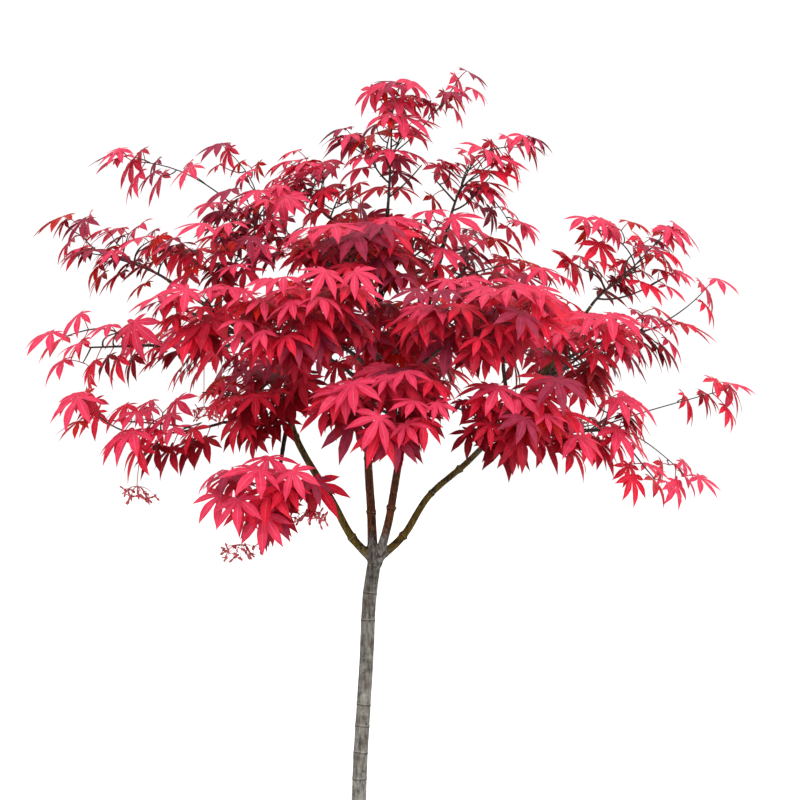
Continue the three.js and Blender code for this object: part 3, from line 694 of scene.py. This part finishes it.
def poseLeaf(point, along, way, size, onSpray, draw):  # a stalk leans off its twig, and the leaf hangs from it
    lift = vary(draw, *leafPose["stalkLift"]) if way[2] > -0.5 else 0
    stalkWay = unit(along * vary(draw, *leafPose["stalkAhead"]) + way * leafPose["stalkOut"] + up * lift)
    length = leafPose["length"] * size * vary(draw, *leafPose["lengths"])
    head = point + stalkWay * leafPose["stalk"] * size * vary(draw, *leafPose["stalks"])
    outward = unit(unit((head - crownHeart) * [1, 1, 0]) + vec(leafPose["sunny"]))
    hang = leafPose["sprayHang"] if onSpray else np.interp(head[2], leafPose["hangFrom"], leafPose["hang"])
    fall = vary(draw, *leafPose["fall"]) * hang + max(stalkWay[2], 0) * 0.5
    axis = unit(stalkWay * 0.5 + outward * vary(draw, *leafPose["outward"]) - up * fall)
    face = up * vary(draw, *leafPose["upward"]) + outward * 0.45 + way * leafPose["tilt"] * (draw() - 0.5)
    face = unit(face - axis * face.dot(axis))
    return {
        "foot": point, "head": head, "axis": axis, "face": face, "side": np.cross(face, axis), "size": length,
        "droop": vary(draw, *leafPose["droop"]),
    }


def frameAt(path, distance):  # the place, the way on, and the four sides and the end that shoots leave by
    along = path.way(distance / path.length)
    side = unit(np.cross(along, up))
    across = np.cross(along, side)
    return path.at(distance / path.length), along, [across, -side, -across, side, along]


def stemOf(name):  # carries its limb's line on past the middle of the space, with a node for each twig
    _, _, centre, reach = masses[name]
    limb = carrier[name].spaced(12 if masses[name][0] is None else 5)
    along = unit(limb[-1] - limb[-2])
    start = limb[-1] + along * growth["gap"]
    far = vec(centre) + (vec(centre) - limb[-1]) * 0.35
    path = bezier(start, start + along * np.linalg.norm(far - start) * 0.4, far)
    return path, [path.length * mix(0.18, 1, i / growth["twigs"]) for i in range(growth["twigs"] + 1)]


stems = {name: stemOf(name) for name in massNames}
barriers = [treeOf(trunkSolid(20, 12)), treeOf(knuckleSolid())]
for name, path in limbs.items():
    radius = growth["bough"] if name in boughs else growth["limb"]
    barriers.append(treeOf(taper(path.spaced(12), radius, 6, growth["gap"])))
stemTrees = {
    name: treeOf(taper(path.spaced(4), growth["stem"], 4, growth["gap"])) for name, (path, _) in stems.items()
}


def clearOfWood(tree, name):
    if any(tree.overlap(other) for other in barriers):
        return False
    return not any(tree.overlap(other) for otherName, other in stemTrees.items() if otherName != name)


leaves, twigSolids, fineSolids, stalkSolids = [], [], [], []
twigLines = {}
twigRule = {
    "turn": 2.4,               # radians round the stem from one twig to the next
    "stray": 0.8,
    "rise": (-0.5, 0.85),      # from the lowest to the highest
    "lengths": (0.9, 0.4),     # the least, and how much more by chance
    "lift": 14,
    "parts": (1, 0.8, 0.6),    # a twig that finds no room is tried this much shorter
    "bend": (0.38, 0.14, 0.08),  # out, ahead and up, of its length
    "bare": 20,                # no leaves nearer its foot
}


def twigEnds(name, index):  # where each ends, its node, the size of its leaves and their pairs
    _, _, centre, reach = masses[name]
    ends = []
    for i, (tip, size, pairs) in enumerate(sprays.get(name, [])):
        ends.append((vec(tip), growth["twigs"] - i, size, pairs))
    for i in range(growth["twigs"]):
        draw = draws(1000 * (index + 1) + 500 + i)
        bearing = i * twigRule["turn"] + twigRule["stray"] * draw()
        rise = mix(*twigRule["rise"], (i + 0.5) / growth["twigs"])
        level = math.sqrt(1 - rise * rise)
        tip = np.array([math.cos(bearing) * level, math.sin(bearing) * level, rise])
        tip = tip * (vec(reach) - growth["leafReach"]) * vary(draw, *twigRule["lengths"])
        ends.append((tip + vec(centre) + up * twigRule["lift"], i, 1.0, 2))
    return ends


def findTwig(mass, point, along, ways, free, end, size, pairs):
    toward = unit(end - point)
    face = max(free, key=lambda k: ways[k].dot(toward))
    out, ahead, lift = twigRule["bend"]
    for part in twigRule["parts"]:
        tip = mix(point, end, part)
        length = np.linalg.norm(tip - point)
        path = bezier(point, point + ways[face] * out * length + along * ahead * length + up * lift * length, tip)
        nodes = [path.length - k * growth["internode"] * size for k in range(pairs)]
        nodes = [d for d in nodes if d > twigRule["bare"]][::-1]
        if not nodes or not all(inSpace(path.at(d / path.length), mass["index"], 2) for d in nodes):
            continue
        points = [path.at(s) for s in np.linspace(min(5 / path.length, 0.3), 1, 6)]
        tree = treeOf(taper(points, growth["twig"], 4, 0.8))
        if clearOfWood(tree, mass["name"]) and not any(tree.overlap(other) for other in mass["wood"]):
            return face, path, nodes, tree
    return None


leafRoom = {
    "tries": 8,
    "shrink": 0.35,  # how much smaller the leaf gets over its tries
    "ground": 5,
    "near": 150,     # leaves further off aren't tested
}


def addLeaf(mass, point, along, way, seed, size, spray, most=0):  # most: how many plain faces may cross others
    onSpray = size <= leafPose["spraySize"]
    life = leafPose["sprayLife"] if onSpray else leafPose["life"]
    for attempt in range(leafRoom["tries"]):
        tried = size * life * (1 - leafRoom["shrink"] * attempt / leafRoom["tries"])
        leaf = poseLeaf(point, along, way, tried, onSpray, draws(seed + attempt * 1009))
        leaf.update(seed=seed + attempt * 1009, spray=spray)
        body = leafBody(leaf, plainLeaf)
        tips = body[0][::3]
        if not all(inSpace(p, mass["index"], 1) for p in tips) or tips[:, 2].min() < leafRoom["ground"]:
            continue
        tree = treeOf(body)
        if not clearOfWood(tree, mass["name"]) or any(tree.overlap(other) for other in mass["wood"]):
            continue
        near = [other for other, at in mass["leaves"] if np.linalg.norm(at - leaf["head"]) < leafRoom["near"]]
        if sum(len(tree.overlap(other)) for other in near) > most:
            continue
        mass["leaves"].append((tree, leaf["head"]))
        leaves.append(leaf)
        return


def pairAt(mass, path, distance, k, seed, size, spray, most=0):  # each pair stands across the one before
    point, along, ways = frameAt(path, distance)
    for face in ((0, 2) if k % 2 else (1, 3)):
        addLeaf(mass, point, along, ways[face], seed + face, size, spray, most)


def growMass(name, index, rounds):
    path, stemNodes = stems[name]
    mass = {"name": name, "index": index, "wood": [], "leaves": []}
    free = {i: [0, 1, 2, 3] + ([4] if i == growth["twigs"] else []) for i in range(len(stemNodes))}
    twigs = []
    for end, node, size, pairs in twigEnds(name, index):
        point, along, ways = frameAt(path, stemNodes[node] - 1.4)
        found = findTwig(mass, point, along, ways, free[node], end, size, pairs)
        if found:
            face, line, nodes, tree = found
            free[node].remove(face)
            twigs.append((line, nodes, size))
            mass["wood"].append(tree)
    twigLines[name] = [path] + [line for line, *_ in twigs]
    twigSolids.append(taper(path.spaced(10), growth["stem"], 8))
    seed = 1000 * (index + 1)
    for i, (line, nodes, size) in enumerate(twigs):
        twigSolids.append(taper(line.spaced(10), [r * mix(1, size, 0.6) for r in growth["twig"]], 6))
        for k, distance in enumerate(reversed(nodes)):
            pairAt(mass, line, distance, k, seed + (i + 1) * 60 + k * 8, size, (name, i))
    for k, distance in enumerate(stemNodes):
        point, along, ways = frameAt(path, distance)
        for face in free[k][:2]:
            addLeaf(mass, point, along, ways[face], seed + k * 8 + face, 1, (name, "stem", k))
    growFine(mass, path, twigs, rounds)


# finer shoots off every twig, each with a pair of leaves or two
fineRule = {
    "radius": (0.95, 0.6),
    "along": (0.35, 0.9),      # where on a twig they leave it
    "length": (26, 48),
    "lean": (0.8, 0.9, 0.15),  # ahead, out and up
    "past": (4, 26),           # mm they may pass the mass's reach, on a mass with few rounds and with many
    "many": 4,
    "twoPairs": 36,            # a longer shoot has a second pair
    "sizes": (0.92, 0.8),      # of the pair at its end and of the second
    "touching": 4,             # their leaves may cross others by this many plain faces
    "rounds": 3,               # on each mass but these: the open outskirts and the dense middle
    "roundsOn": {
        "low_left": 2, "left_low": 2, "left_far": 0, "left_high": 1, "high_left": 4, "top_right": 2,
        "right_high": 2, "right_far": 0, "right_low": 1, "far_right_front": 2, "front_low": 6, "low_right": 6,
        "top_left": 4, "front_left": 2, "front_mid_left": 7, "front_right": 7, "upper_core": 1,
        "back_high_right": 0, "back_left": 1, "back_right": 2, "front_upper": 5, "core": 7, "mid_left": 8,
    },
}


def growFine(mass, path, twigs, rounds):
    name, index = mass["name"], mass["index"]
    draw = draws(7000 + index)
    centre = vec(masses[name][2])
    reach = vec(masses[name][3]) + fineRule["past"][rounds >= fineRule["many"]]
    carriers = [(line, size, i) for i, (line, _, size) in enumerate(twigs)] + [(path, 1.0, "stem")]
    ahead, out, lift = fineRule["lean"]
    endSize, secondSize = fineRule["sizes"]
    most = fineRule["touching"]
    for turn in range(rounds):
        for line, size, i in carriers:
            share = mix(*fineRule["along"], (turn + draw()) / rounds)
            point, along, ways = frameAt(line, line.length * share)
            way = ways[(1, 3, 0)[turn % 3]]
            length = mix(*fineRule["length"], draw()) * mix(size, 1, 0.3)
            tip = point + unit(along * ahead + way * out + up * lift) * length
            if np.linalg.norm((tip - centre) / reach) > 1 and size == 1:
                continue
            if not inSpace(tip, index, 2):
                continue
            shoot = bezier(point, point + way * length * 0.4 + up * length * 0.1, tip)
            before = len(leaves)
            seed = 90000 + index * 900 + turn * 200 + (i if i != "stem" else 15) * 12
            spray = (name, i, turn)
            pairAt(mass, shoot, shoot.length, 0, seed, size * endSize, spray, most)
            if length > fineRule["twoPairs"]:
                pairAt(mass, shoot, shoot.length * 0.55, 1, seed + 4, size * secondSize, spray, most)
            if len(leaves) > before:
                fineSolids.append(taper(shoot.spaced(5), fineRule["radius"], 5))


print("growing the crown")
for index, name in enumerate(massNames):
    growMass(name, index, fineRule["roundsOn"].get(name, fineRule["rounds"]))
print("   ", len(leaves), "leaves")

for leaf in leaves:
    foot, head = leaf["foot"], leaf["head"]
    sag = mix(foot, head, 0.55) + up * 0.12 * np.linalg.norm(head - foot)
    end = head + leaf["axis"] * 0.6
    stalkSolids.append(taper(bezier(foot, sag, end, steps=6).spaced(4), leafPose["stalkRadius"], 5))

# seed keys: winged pairs on thin stalks that part from one hanging stalk
seedKeys = {
    "pairs": 15,
    "wing": [(0, 0.7), (3, 1.1), (6, 2.2), (8.5, 1.9), (9.3, 0.5), (7, -0.6), (3.5, -0.5), (0, -0.7)],
    "thick": 0.35,
    "nutlet": (0.4, 1.5, 1.8, 1.3, 0.4),       # radii along it
    "nutletAt": (-0.6, 0.2, 1.4, 2.6, 3.4),
    "stalk": (0.7, 0.5),
    "thread": (0.4, 0.3),
    "spread": (5, 23),
    "drop": (1, 15),
    "hung": {
        "left_low": [(-263, -60, 690)],
        "low_left": [(-46, -180, 668), (-123, -190, 631)],
        "back_left": [(-210, 170, 785)],
        "back_mid": [(40, 240, 742)],
        "back_right": [(290, 210, 772)],
    },
}
seedSolids = []


def wingBody(foot, along, flat):  # one flat wing
    side = unit(np.cross(flat, along))
    rim = [foot + along * a + side * b for a, b in seedKeys["wing"]]
    count, half = len(rim), flat * seedKeys["thick"] / 2
    sides = [(k, (k + 1) % count, (k + 1) % count + count, k + count) for k in range(count)]
    faces = [tuple(reversed(range(count))), tuple(range(count, 2 * count))] + sides
    return np.array([p - half for p in rim] + [p + half for p in rim]), faces


def hangKeys(name, head, draw):
    head = vec(head)
    feet = [line.at(s) for line in twigLines[name] for s in (0.35, 0.5, 0.65, 0.8, 0.95)]
    foot = min(feet, key=lambda p: np.linalg.norm(p - head))
    drop = head - foot
    stalk = bezier(foot, foot + drop * [0.7, 0.7, 0], head + up * 9, head, steps=10)
    stalkSolids.append(taper(stalk.spaced(8), seedKeys["stalk"], 5))
    for k in range(seedKeys["pairs"]):
        bearing = k * twigRule["turn"] + draw()
        out = np.array([math.cos(bearing), 0.7 * math.sin(bearing), 0]) * mix(*seedKeys["spread"], draw())
        end = head + out - up * mix(*seedKeys["drop"], draw())
        thread = bezier(head, head + out * 0.5 + up * 2, end, steps=5)
        stalkSolids.append(taper(thread.spaced(4), seedKeys["thread"], 4))
        away, flat = unit(out + up * 0.01), unit(vec((draw() - 0.5, draw() - 0.5, draw() - 0.5)))
        cross = unit(np.cross(flat, away))
        for hand in (-1, 1):
            along = unit(cross * hand + away * 0.5 - up * 0.3)
            flatHere = unit(flat - along * flat.dot(along))
            seedSolids.append(wingBody(end + along, along, flatHere))
            nut = [end + along * a for a in seedKeys["nutletAt"]]
            seedSolids.append(tube(nut, seedKeys["nutlet"], 6))


for name, heads in seedKeys["hung"].items():
    for k, head in enumerate(heads):
        hangKeys(name, head, draws(massNames.index(name) * 50 + k))

# tints, dealt out by spray and by light: painted light gives bright tints where the sky reaches a leaf, on the
# sunny side and at the top, and painted shade gives wine-red in the crown's shade
tintRule = {
    "rays": 28,
    "reach": 150,           # mm a ray goes before the sky counts as open
    "spray": 0.22,          # how far a whole spray strays from its light
    "leaf": 0.3,            # and each leaf in it
    "sunny": 0.15,          # more light on the sunny side, for each depth
    "depth": 250,
    "high": 0.3,            # and at the top, for each rise past a height
    "highFrom": 950,
    "highRise": 200,
    # ranked by painted light: the least lit leaves get deep_red as painted shade, the best lit get the brightest
    # tints as painted light
    "shares": (("deep_red", 0.17), ("crimson", 0.41), ("bright_crimson", 0.7), ("pink_crimson", 1.0)),
    "topFrom": 940,
    "orange": (0.07, 0.5, 1.6),  # share of the leaves, and times as many below the top and at the top
    "purple": (0.1, 0.7, 1.8),
}


def skyRays(count):
    rays = []
    for i in range(count):
        z, turn = 1 - 1.3 * (i + 0.5) / count, i * 2.39996
        rays.append(np.array([math.cos(turn) * math.sqrt(1 - z * z), math.sin(turn) * math.sqrt(1 - z * z), z]))
    return rays


def openSky(leaf, crown, rays):  # the share of the sky before the leaf that no other leaf hides
    outward = unit((leaf["head"] - crownHeart) * [1, 1, 0.6])
    eye = Vector(leaf["head"] + leaf["axis"] * leaf["size"] * 0.4 + leaf["face"] * 5)
    seen = [ray for ray in rays if ray.dot(outward) + ray[2] > -0.1]
    return sum(crown.ray_cast(eye, Vector(ray), tintRule["reach"])[0] is None for ray in seen) / len(seen)


def dealTints():
    bodies = [leafBody(leaf, plainLeaf) for leaf in leaves]
    first = np.cumsum([0] + [len(body[0]) for body in bodies])
    corners = [Vector(v) for body in bodies for v in body[0]]
    faces = [tuple(k + f for k in face) for f, body in zip(first, bodies) for face in body[1]]
    crown = BVHTree.FromPolygons(corners, faces)
    rays = skyRays(tintRule["rays"])
    for leaf in leaves:
        spray = draws(sum(ord(c) * (k + 7) for k, c in enumerate(str(leaf["spray"]))))
        own = draws(leaf["seed"])
        # painted light and shade: the tint follows the open sky over the leaf, how far it is towards the sunny
        # front, and its height
        light = openSky(leaf, crown, rays) - tintRule["sunny"] * leaf["head"][1] / tintRule["depth"]
        light += tintRule["high"] * max(leaf["head"][2] - tintRule["highFrom"], 0) / tintRule["highRise"]
        leaf["light"] = light + sway(spray, tintRule["spray"]) + sway(own, tintRule["leaf"])
        leaf["odd"] = own()
    for rank, leaf in enumerate(sorted(leaves, key=lambda one: one["light"])):
        share = rank / len(leaves)
        leaf["tint"] = next(tint for tint, upTo in tintRule["shares"] if share < upTo)
        row = 2 if leaf["head"][2] > tintRule["topFrom"] else 1
        if leaf["odd"] < tintRule["orange"][0] * tintRule["orange"][row]:
            leaf["tint"] = "orange_red"
        elif leaf["odd"] > 1 - tintRule["purple"][0] * tintRule["purple"][row]:
            leaf["tint"] = "purple_red"


dealTints()
for tint in leafMaterials:
    print("   ", tint, sum(leaf["tint"] == tint for leaf in leaves))

foliageNodes = ["foliage_" + name for name in massNames]
print("leaf pieces")
for tint, material in leafMaterials.items():
    tinted = [leaf for leaf in leaves if leaf["tint"] == tint]
    mesh = meshFrom("leaves_" + tint, [leafBody(leaf, fullLeaf) for leaf in tinted])
    ribs, alongs = zip(*[leafMarks(leaf, fullLeaf) for leaf in tinted])
    setMarks(mesh, {"rib": np.concatenate(ribs), "along": np.concatenate(alongs)})
    addPiece("leaves_" + tint, mesh, material, foliageNodes, smooth=False)
addPiece("leaf_stalks", meshFrom("leaf_stalks", stalkSolids), stalkSkin, foliageNodes)
addPiece("twigs", meshFrom("twigs", twigSolids + fineSolids), twigBark, foliageNodes)
addPiece("seed_keys", meshFrom("seed_keys", seedSolids), seedSkin, foliageNodes, smooth=False)

# the skin of trunk, boughs and limbs; a noise's numbers are its turns in a mm across, and along, and a shift
skinRule = {
    "voxel": 1.3,
    "samples": 160,     # along each line, to find which one a point is on
    "wave": (0.12, 0.035),
    "fineWave": (0.3, 0.5, 9),
    "ringWander": (0.09, 0.02),
    "crease": (0.42, 0.16),
    "trunkRelief": (0.35, 0.22, 0.4),  # mm of wave, fine wave and ring
    "boughRelief": (0.2, 0.08, 0.7),
    "wander": 1.4,      # mm a ring strays from its height
    "ringWidth": 2.2,
    "reach": 3.0,       # mm a ring scar's mark runs each way
    "lipOver": 1.5,     # mm from its groove to its lip
    "trunkRings": (76, 118, 170, 214, 262, 322, 355, 388, 415, 520, 554, 591, 601, 608),
    "flare": (1.6, 14),  # swelling where a bough leaves the knuckle, and the length in which it fades
    "fork": (606, 21),  # whitish wrinkles: their height, and how soon they fade
    "dusk": 0.45,       # how dark grey bark gets at the fork
    "duskFrom": (552, 30),
    # scars of lost twigs on the stem: height, bearing in degrees, width
    "eyes": (
        (90, -120, 4), (140, 80, 4), (180, -60, 3.5), (240, -95, 4), (300, 120, 4.5), (332, -60, 4.4),
        (350, 170, 4), (372, -78, 3.4), (406, -88, 3), (430, 60, 4), (455, -110, 4.2), (476, -125, 4.8),
        (495, 100, 3.5), (521, -100, 2.6), (566, -52, 3.6),
    ),
    "eyeRim": (0.95, 3.2),         # where its pale rim is, of its width, and how sharp
    "eyeSwell": (0.35, 0.9, 0.3),  # mm, where, and how far it spreads
}
# how stout against the solids, how far grey bark goes up from the fork, russet, how dark it ends, its rings
boughSkin = {
    "bough_left": (0.95, 7, 0.1, 0.5, (622, 690, 748, 806, 862, 915)),
    "bough_mid_left": (1.07, 18, 1.0, 1.0, (653, 722, 790, 858, 925, 985)),
    "bough_mid_right": (0.98, 26, 1.0, 0.85, (659, 716, 778, 840, 905, 970)),
    "bough_right": (0.88, 8, 0.15, 0.5, (624, 679, 708, 756, 806, 858)),
}


def atHeights(path, heights):  # distances along a rising path
    return np.interp(heights, path.points[:, 2], path.along)


def tipTone(share, darkest):  # bark darkens up a bough
    return darkest * clamped((share - 0.1) / 0.4)


def noiseAt(p, across, along, shift=0):
    return noise.noise(Vector((p[0] * across, p[1] * across, p[2] * along + shift)))


def budStubs(path, distance, radius, faces):  # the pair of old bud scars at a ring
    point, along, ways = frameAt(path, distance)
    out = [ways[k] + along * 0.45 for k in faces]
    return [taper([point + w * radius * 0.6, point + w * (radius + 1.8)], (2.0, 1.0), 8) for w in out]


def barkSkin():
    parts = [trunkSolid(), knuckleSolid()]
    swell, fade = skinRule["flare"]
    for name, (stout, _, _, _, rings) in boughSkin.items():
        path = limbs[name]
        steps = int(path.length / 5)
        radii = [
            stout * mix(*growth["bough"], i / steps) + swell * math.exp(-path.length * i / steps / fade)
            for i in range(steps + 1)
        ]
        parts.append(tube(path.spaced(steps), radii, 20))
        for k, distance in enumerate(atHeights(path, rings)):
            radius = stout * mix(*growth["bough"], distance / path.length)
            parts.extend(budStubs(path, distance, radius, (1, 3) if k % 2 else (0, 2)))
    rough = bpy.data.objects.new("rough", meshFrom("rough", parts))
    bpy.context.scene.collection.objects.link(rough)
    remesh = rough.modifiers.new("remesh", "REMESH")
    remesh.mode, remesh.voxel_size = "VOXEL", skinRule["voxel"] * mm
    smooth = rough.modifiers.new("smooth", "SMOOTH")
    smooth.factor, smooth.iterations = 0.5, 3
    skin = bpy.data.meshes.new_from_object(rough.evaluated_get(bpy.context.evaluated_depsgraph_get()))
    bpy.data.objects.remove(rough)
    skin.name = "bark_skin"
    return skin


def eyeSpots():
    spots = []
    for z, bearing, width in skinRule["eyes"]:
        turn = math.radians(bearing)
        line = trunkPath.at(atHeights(trunkPath, z) / trunkPath.length)
        spots.append((line + vec((math.cos(turn), math.sin(turn), 0)) * trunkRadius(z, turn), width))
    return spots


def scars(p, eyes):  # the groove, rim and swelling of lost twigs' scars at a point
    groove, lip, swell = 0, 0, 0
    rim, sharp = skinRule["eyeRim"]
    most, swellAt, spread = skinRule["eyeSwell"]
    for spot, width in eyes:
        if abs(p[2] - spot[2]) > 2 * width:
            continue
        off = np.linalg.norm((p - spot) * (1, 1, 1.9)) / width
        groove = max(groove, 1.15 - off)
        lip = max(lip, 1 - sharp * abs(off - rim))
        swell += most * math.exp(-((off - swellAt) / spread) ** 2)
    return groove, lip, swell


def relief(skin):  # pushes rings and scars out of the skin, and marks where each tone goes
    count = len(skin.vertices)
    at, normal = np.empty(count * 3), np.empty(count * 3)
    skin.vertices.foreach_get("co", at)
    skin.vertex_normals.foreach_get("vector", normal)
    at, normal = at.reshape(-1, 3) / mm, normal.reshape(-1, 3)
    lines = {"trunk": trunkPath, **{name: limbs[name] for name in boughSkin}}
    rings = {name: atHeights(limbs[name], row[4]) for name, row in boughSkin.items()}
    rings["trunk"] = atHeights(trunkPath, skinRule["trunkRings"])
    shares = [k / (skinRule["samples"] - 1) for k in range(skinRule["samples"])]
    spots = [
        (kind, path.at(share), path.way(share), path.length * share, share)
        for kind, path in lines.items() for share in shares
    ]
    near = kdtree.KDTree(len(spots))
    for k, row in enumerate(spots):
        near.insert(Vector(row[1]), k)
    near.balance()
    marks = {key: np.zeros(count) for key in barkMarks}
    push = np.zeros(count)
    eyes = eyeSpots()
    forkHeight, forkFade = skinRule["fork"]
    duskFrom, duskOver = skinRule["duskFrom"]
    for i, p in enumerate(at):
        kind, spot, way, along, share = spots[near.find(Vector(p))[1]]
        along += way.dot(p - spot)
        wave, fineWave = noiseAt(p, *skinRule["wave"]), noiseAt(p, *skinRule["fineWave"])
        wander = skinRule["wander"] * noiseAt(p, *skinRule["ringWander"])
        gap = min((along + wander - r for r in rings[kind]), key=abs)
        ring = math.exp(-(gap / skinRule["ringWidth"]) ** 2)
        groove = max(0, 1 - abs(gap) / skinRule["reach"])
        lip = max(0, 1 - abs(gap - skinRule["lipOver"]) / skinRule["reach"]) * (1 if kind == "trunk" else 0.85)
        if kind not in ("bough_left", "bough_right"):  # whitish wrinkles at the fork and up the middle boughs
            fork = min(1.6 - abs(p[2] - forkHeight) / forkFade, 1)
            lip = max(lip, fork * (0.62 + 1.5 * noiseAt(p, *skinRule["crease"])))
        onWave, onFine, onRing = skinRule["trunkRelief" if kind == "trunk" else "boughRelief"]
        push[i] = onWave * wave + onFine * fineWave + onRing * ring
        if kind == "trunk":
            eyeGroove, eyeLip, swell = scars(p, eyes)
            groove, lip = max(groove, eyeGroove), max(lip, eyeLip)
            push[i] += swell
            marks["tip"][i] = skinRule["dusk"] * clamped((along - duskFrom) / duskOver)
        else:
            _, greyTo, russet, darkest, _ = boughSkin[kind]
            young = clamped((along - greyTo) / 12 + 1.2 * fineWave + wave)
            marks["young"][i], marks["russet"][i] = young, russet
            marks["tip"][i] = max(tipTone(share, darkest), skinRule["dusk"] * (1 - young))
        marks["groove"][i], marks["lip"][i] = groove, lip
    foot = (at[:, 2] < 1.2) & (normal[:, 2] < -0.5)  # the cut stays flat on the ground
    push[foot] = 0
    at += normal * push[:, None]
    at[foot, 2] = 0
    at[:, 2] = np.maximum(at[:, 2], 0)
    skin.vertices.foreach_set("co", (at * mm).ravel())
    setMarks(skin, marks)
    skin.update()
    return skin


limbLook = {
    "sides": 8,
    "rings": (11, 7),  # one in so many steps, from this one
    "ring": 0.35,      # mm a ring stands out
    "lip": 0.75,
    "foot": 8,         # length in which the swelling at its foot fades
}


def limbSkin():  # the side limbs carry on their bough's bark and go dark to their tips
    solids, marks = [], {key: [] for key in barkMarks}
    every, firstRing = limbLook["rings"]
    for name, (on, share, _, _) in masses.items():
        if not on:
            continue
        path = limbs["limb_" + name]
        _, _, russet, darkest, _ = boughSkin[on]
        steps = max(12, int(path.length / 4))
        radii = []
        for i in range(steps + 1):
            ringed = i % every == firstRing
            swell = math.exp(-path.length * i / steps / limbLook["foot"])
            radii.append(mix(*growth["limb"], i / steps) + swell + (limbLook["ring"] if ringed else 0))
            dark = mix(tipTone(share, darkest), 1, min(2 * i / steps, 1))
            row = (1, mix(russet, 1, i / steps), dark, 0, limbLook["lip"] if ringed else 0)
            for key, value in zip(barkMarks, row):
                marks[key].extend([value] * limbLook["sides"])
        solids.append(tube(path.spaced(steps), radii, limbLook["sides"]))
    mesh = meshFrom("limb_bark", solids)
    setMarks(mesh, marks)
    return mesh


print("bark")
addPiece("bark_skin", relief(barkSkin()), bark, ["trunk", *boughs])
limbNodes = ["limb_" + name for name in massNames if masses[name][0]]
addPiece("limb_bark", limbSkin(), bark, limbNodes)

# Matt paper floor, pressed: pale and even, with no shine; its fibre is drawn far coarser than life, to show.
stageLook = {
    "paper": ("#F1F0EE", "#F6F5F3"),
    "fibreMm": 1 / 0.3,
    "halfSide": 12,
    "world": 1.06,
    "sun": 2.2,
    "sunAngle": 35,
    "sunTurn": (48, 0, 22),
}


def setStage():
    material, tree = newMaterial("matt_paper_floor")
    place = addNode(tree, "ShaderNodeTexCoord").outputs["Object"]
    fibre = addNode(
        tree, "ShaderNodeTexNoise", {"Scale": 1 / (stageLook["fibreMm"] * mm), "Detail": 2.0}, Vector=place
    )
    stops = list(zip((0.3, 0.7), stageLook["paper"]))
    shade = addNode(tree, "ShaderNodeValToRGB", {"stops": stops}, Fac=fibre.outputs["Fac"])
    paper = addNode(tree, "ShaderNodeBsdfPrincipled", {"Roughness": 0.9}, Base_Color=shade.outputs[0])
    addNode(tree, "ShaderNodeOutputMaterial", Surface=paper.outputs[0])
    mesh = bpy.data.meshes.new("floor")
    side = stageLook["halfSide"]
    mesh.from_pydata([(-side, -side, 0), (side, -side, 0), (side, side, 0), (-side, side, 0)], [], [(0, 1, 2, 3)])
    mesh.materials.append(material)
    floor = bpy.data.objects.new("floor", mesh)
    bpy.context.scene.collection.objects.link(floor)
    world = bpy.data.worlds.new("studio")
    world.use_nodes = True
    world.node_tree.nodes["Background"].inputs["Color"].default_value = (1, 1, 1, 1)
    world.node_tree.nodes["Background"].inputs["Strength"].default_value = stageLook["world"]
    bpy.context.scene.world = world
    sun = bpy.data.lights.new("key", "SUN")
    sun.energy, sun.angle = stageLook["sun"], math.radians(stageLook["sunAngle"])
    key = bpy.data.objects.new("key", sun)
    key.rotation_euler = [math.radians(a) for a in stageLook["sunTurn"]]
    bpy.context.scene.collection.objects.link(key)
    bpy.context.scene.view_settings.view_transform = "Standard"


view = {"lens": 72, "sensor": 36, "eye": (0.056, -2.0, 0.795)}  # level, from the front; the eye in metres


def setCamera():
    camera = bpy.data.cameras.new("camera")
    camera.lens, camera.sensor_width = view["lens"], view["sensor"]
    eye = bpy.data.objects.new("camera", camera)
    eye.location = view["eye"]
    eye.rotation_euler = (math.pi / 2, 0, 0)
    bpy.context.scene.collection.objects.link(eye)
    bpy.context.scene.camera = eye


print("stage")
setStage()
setCamera()
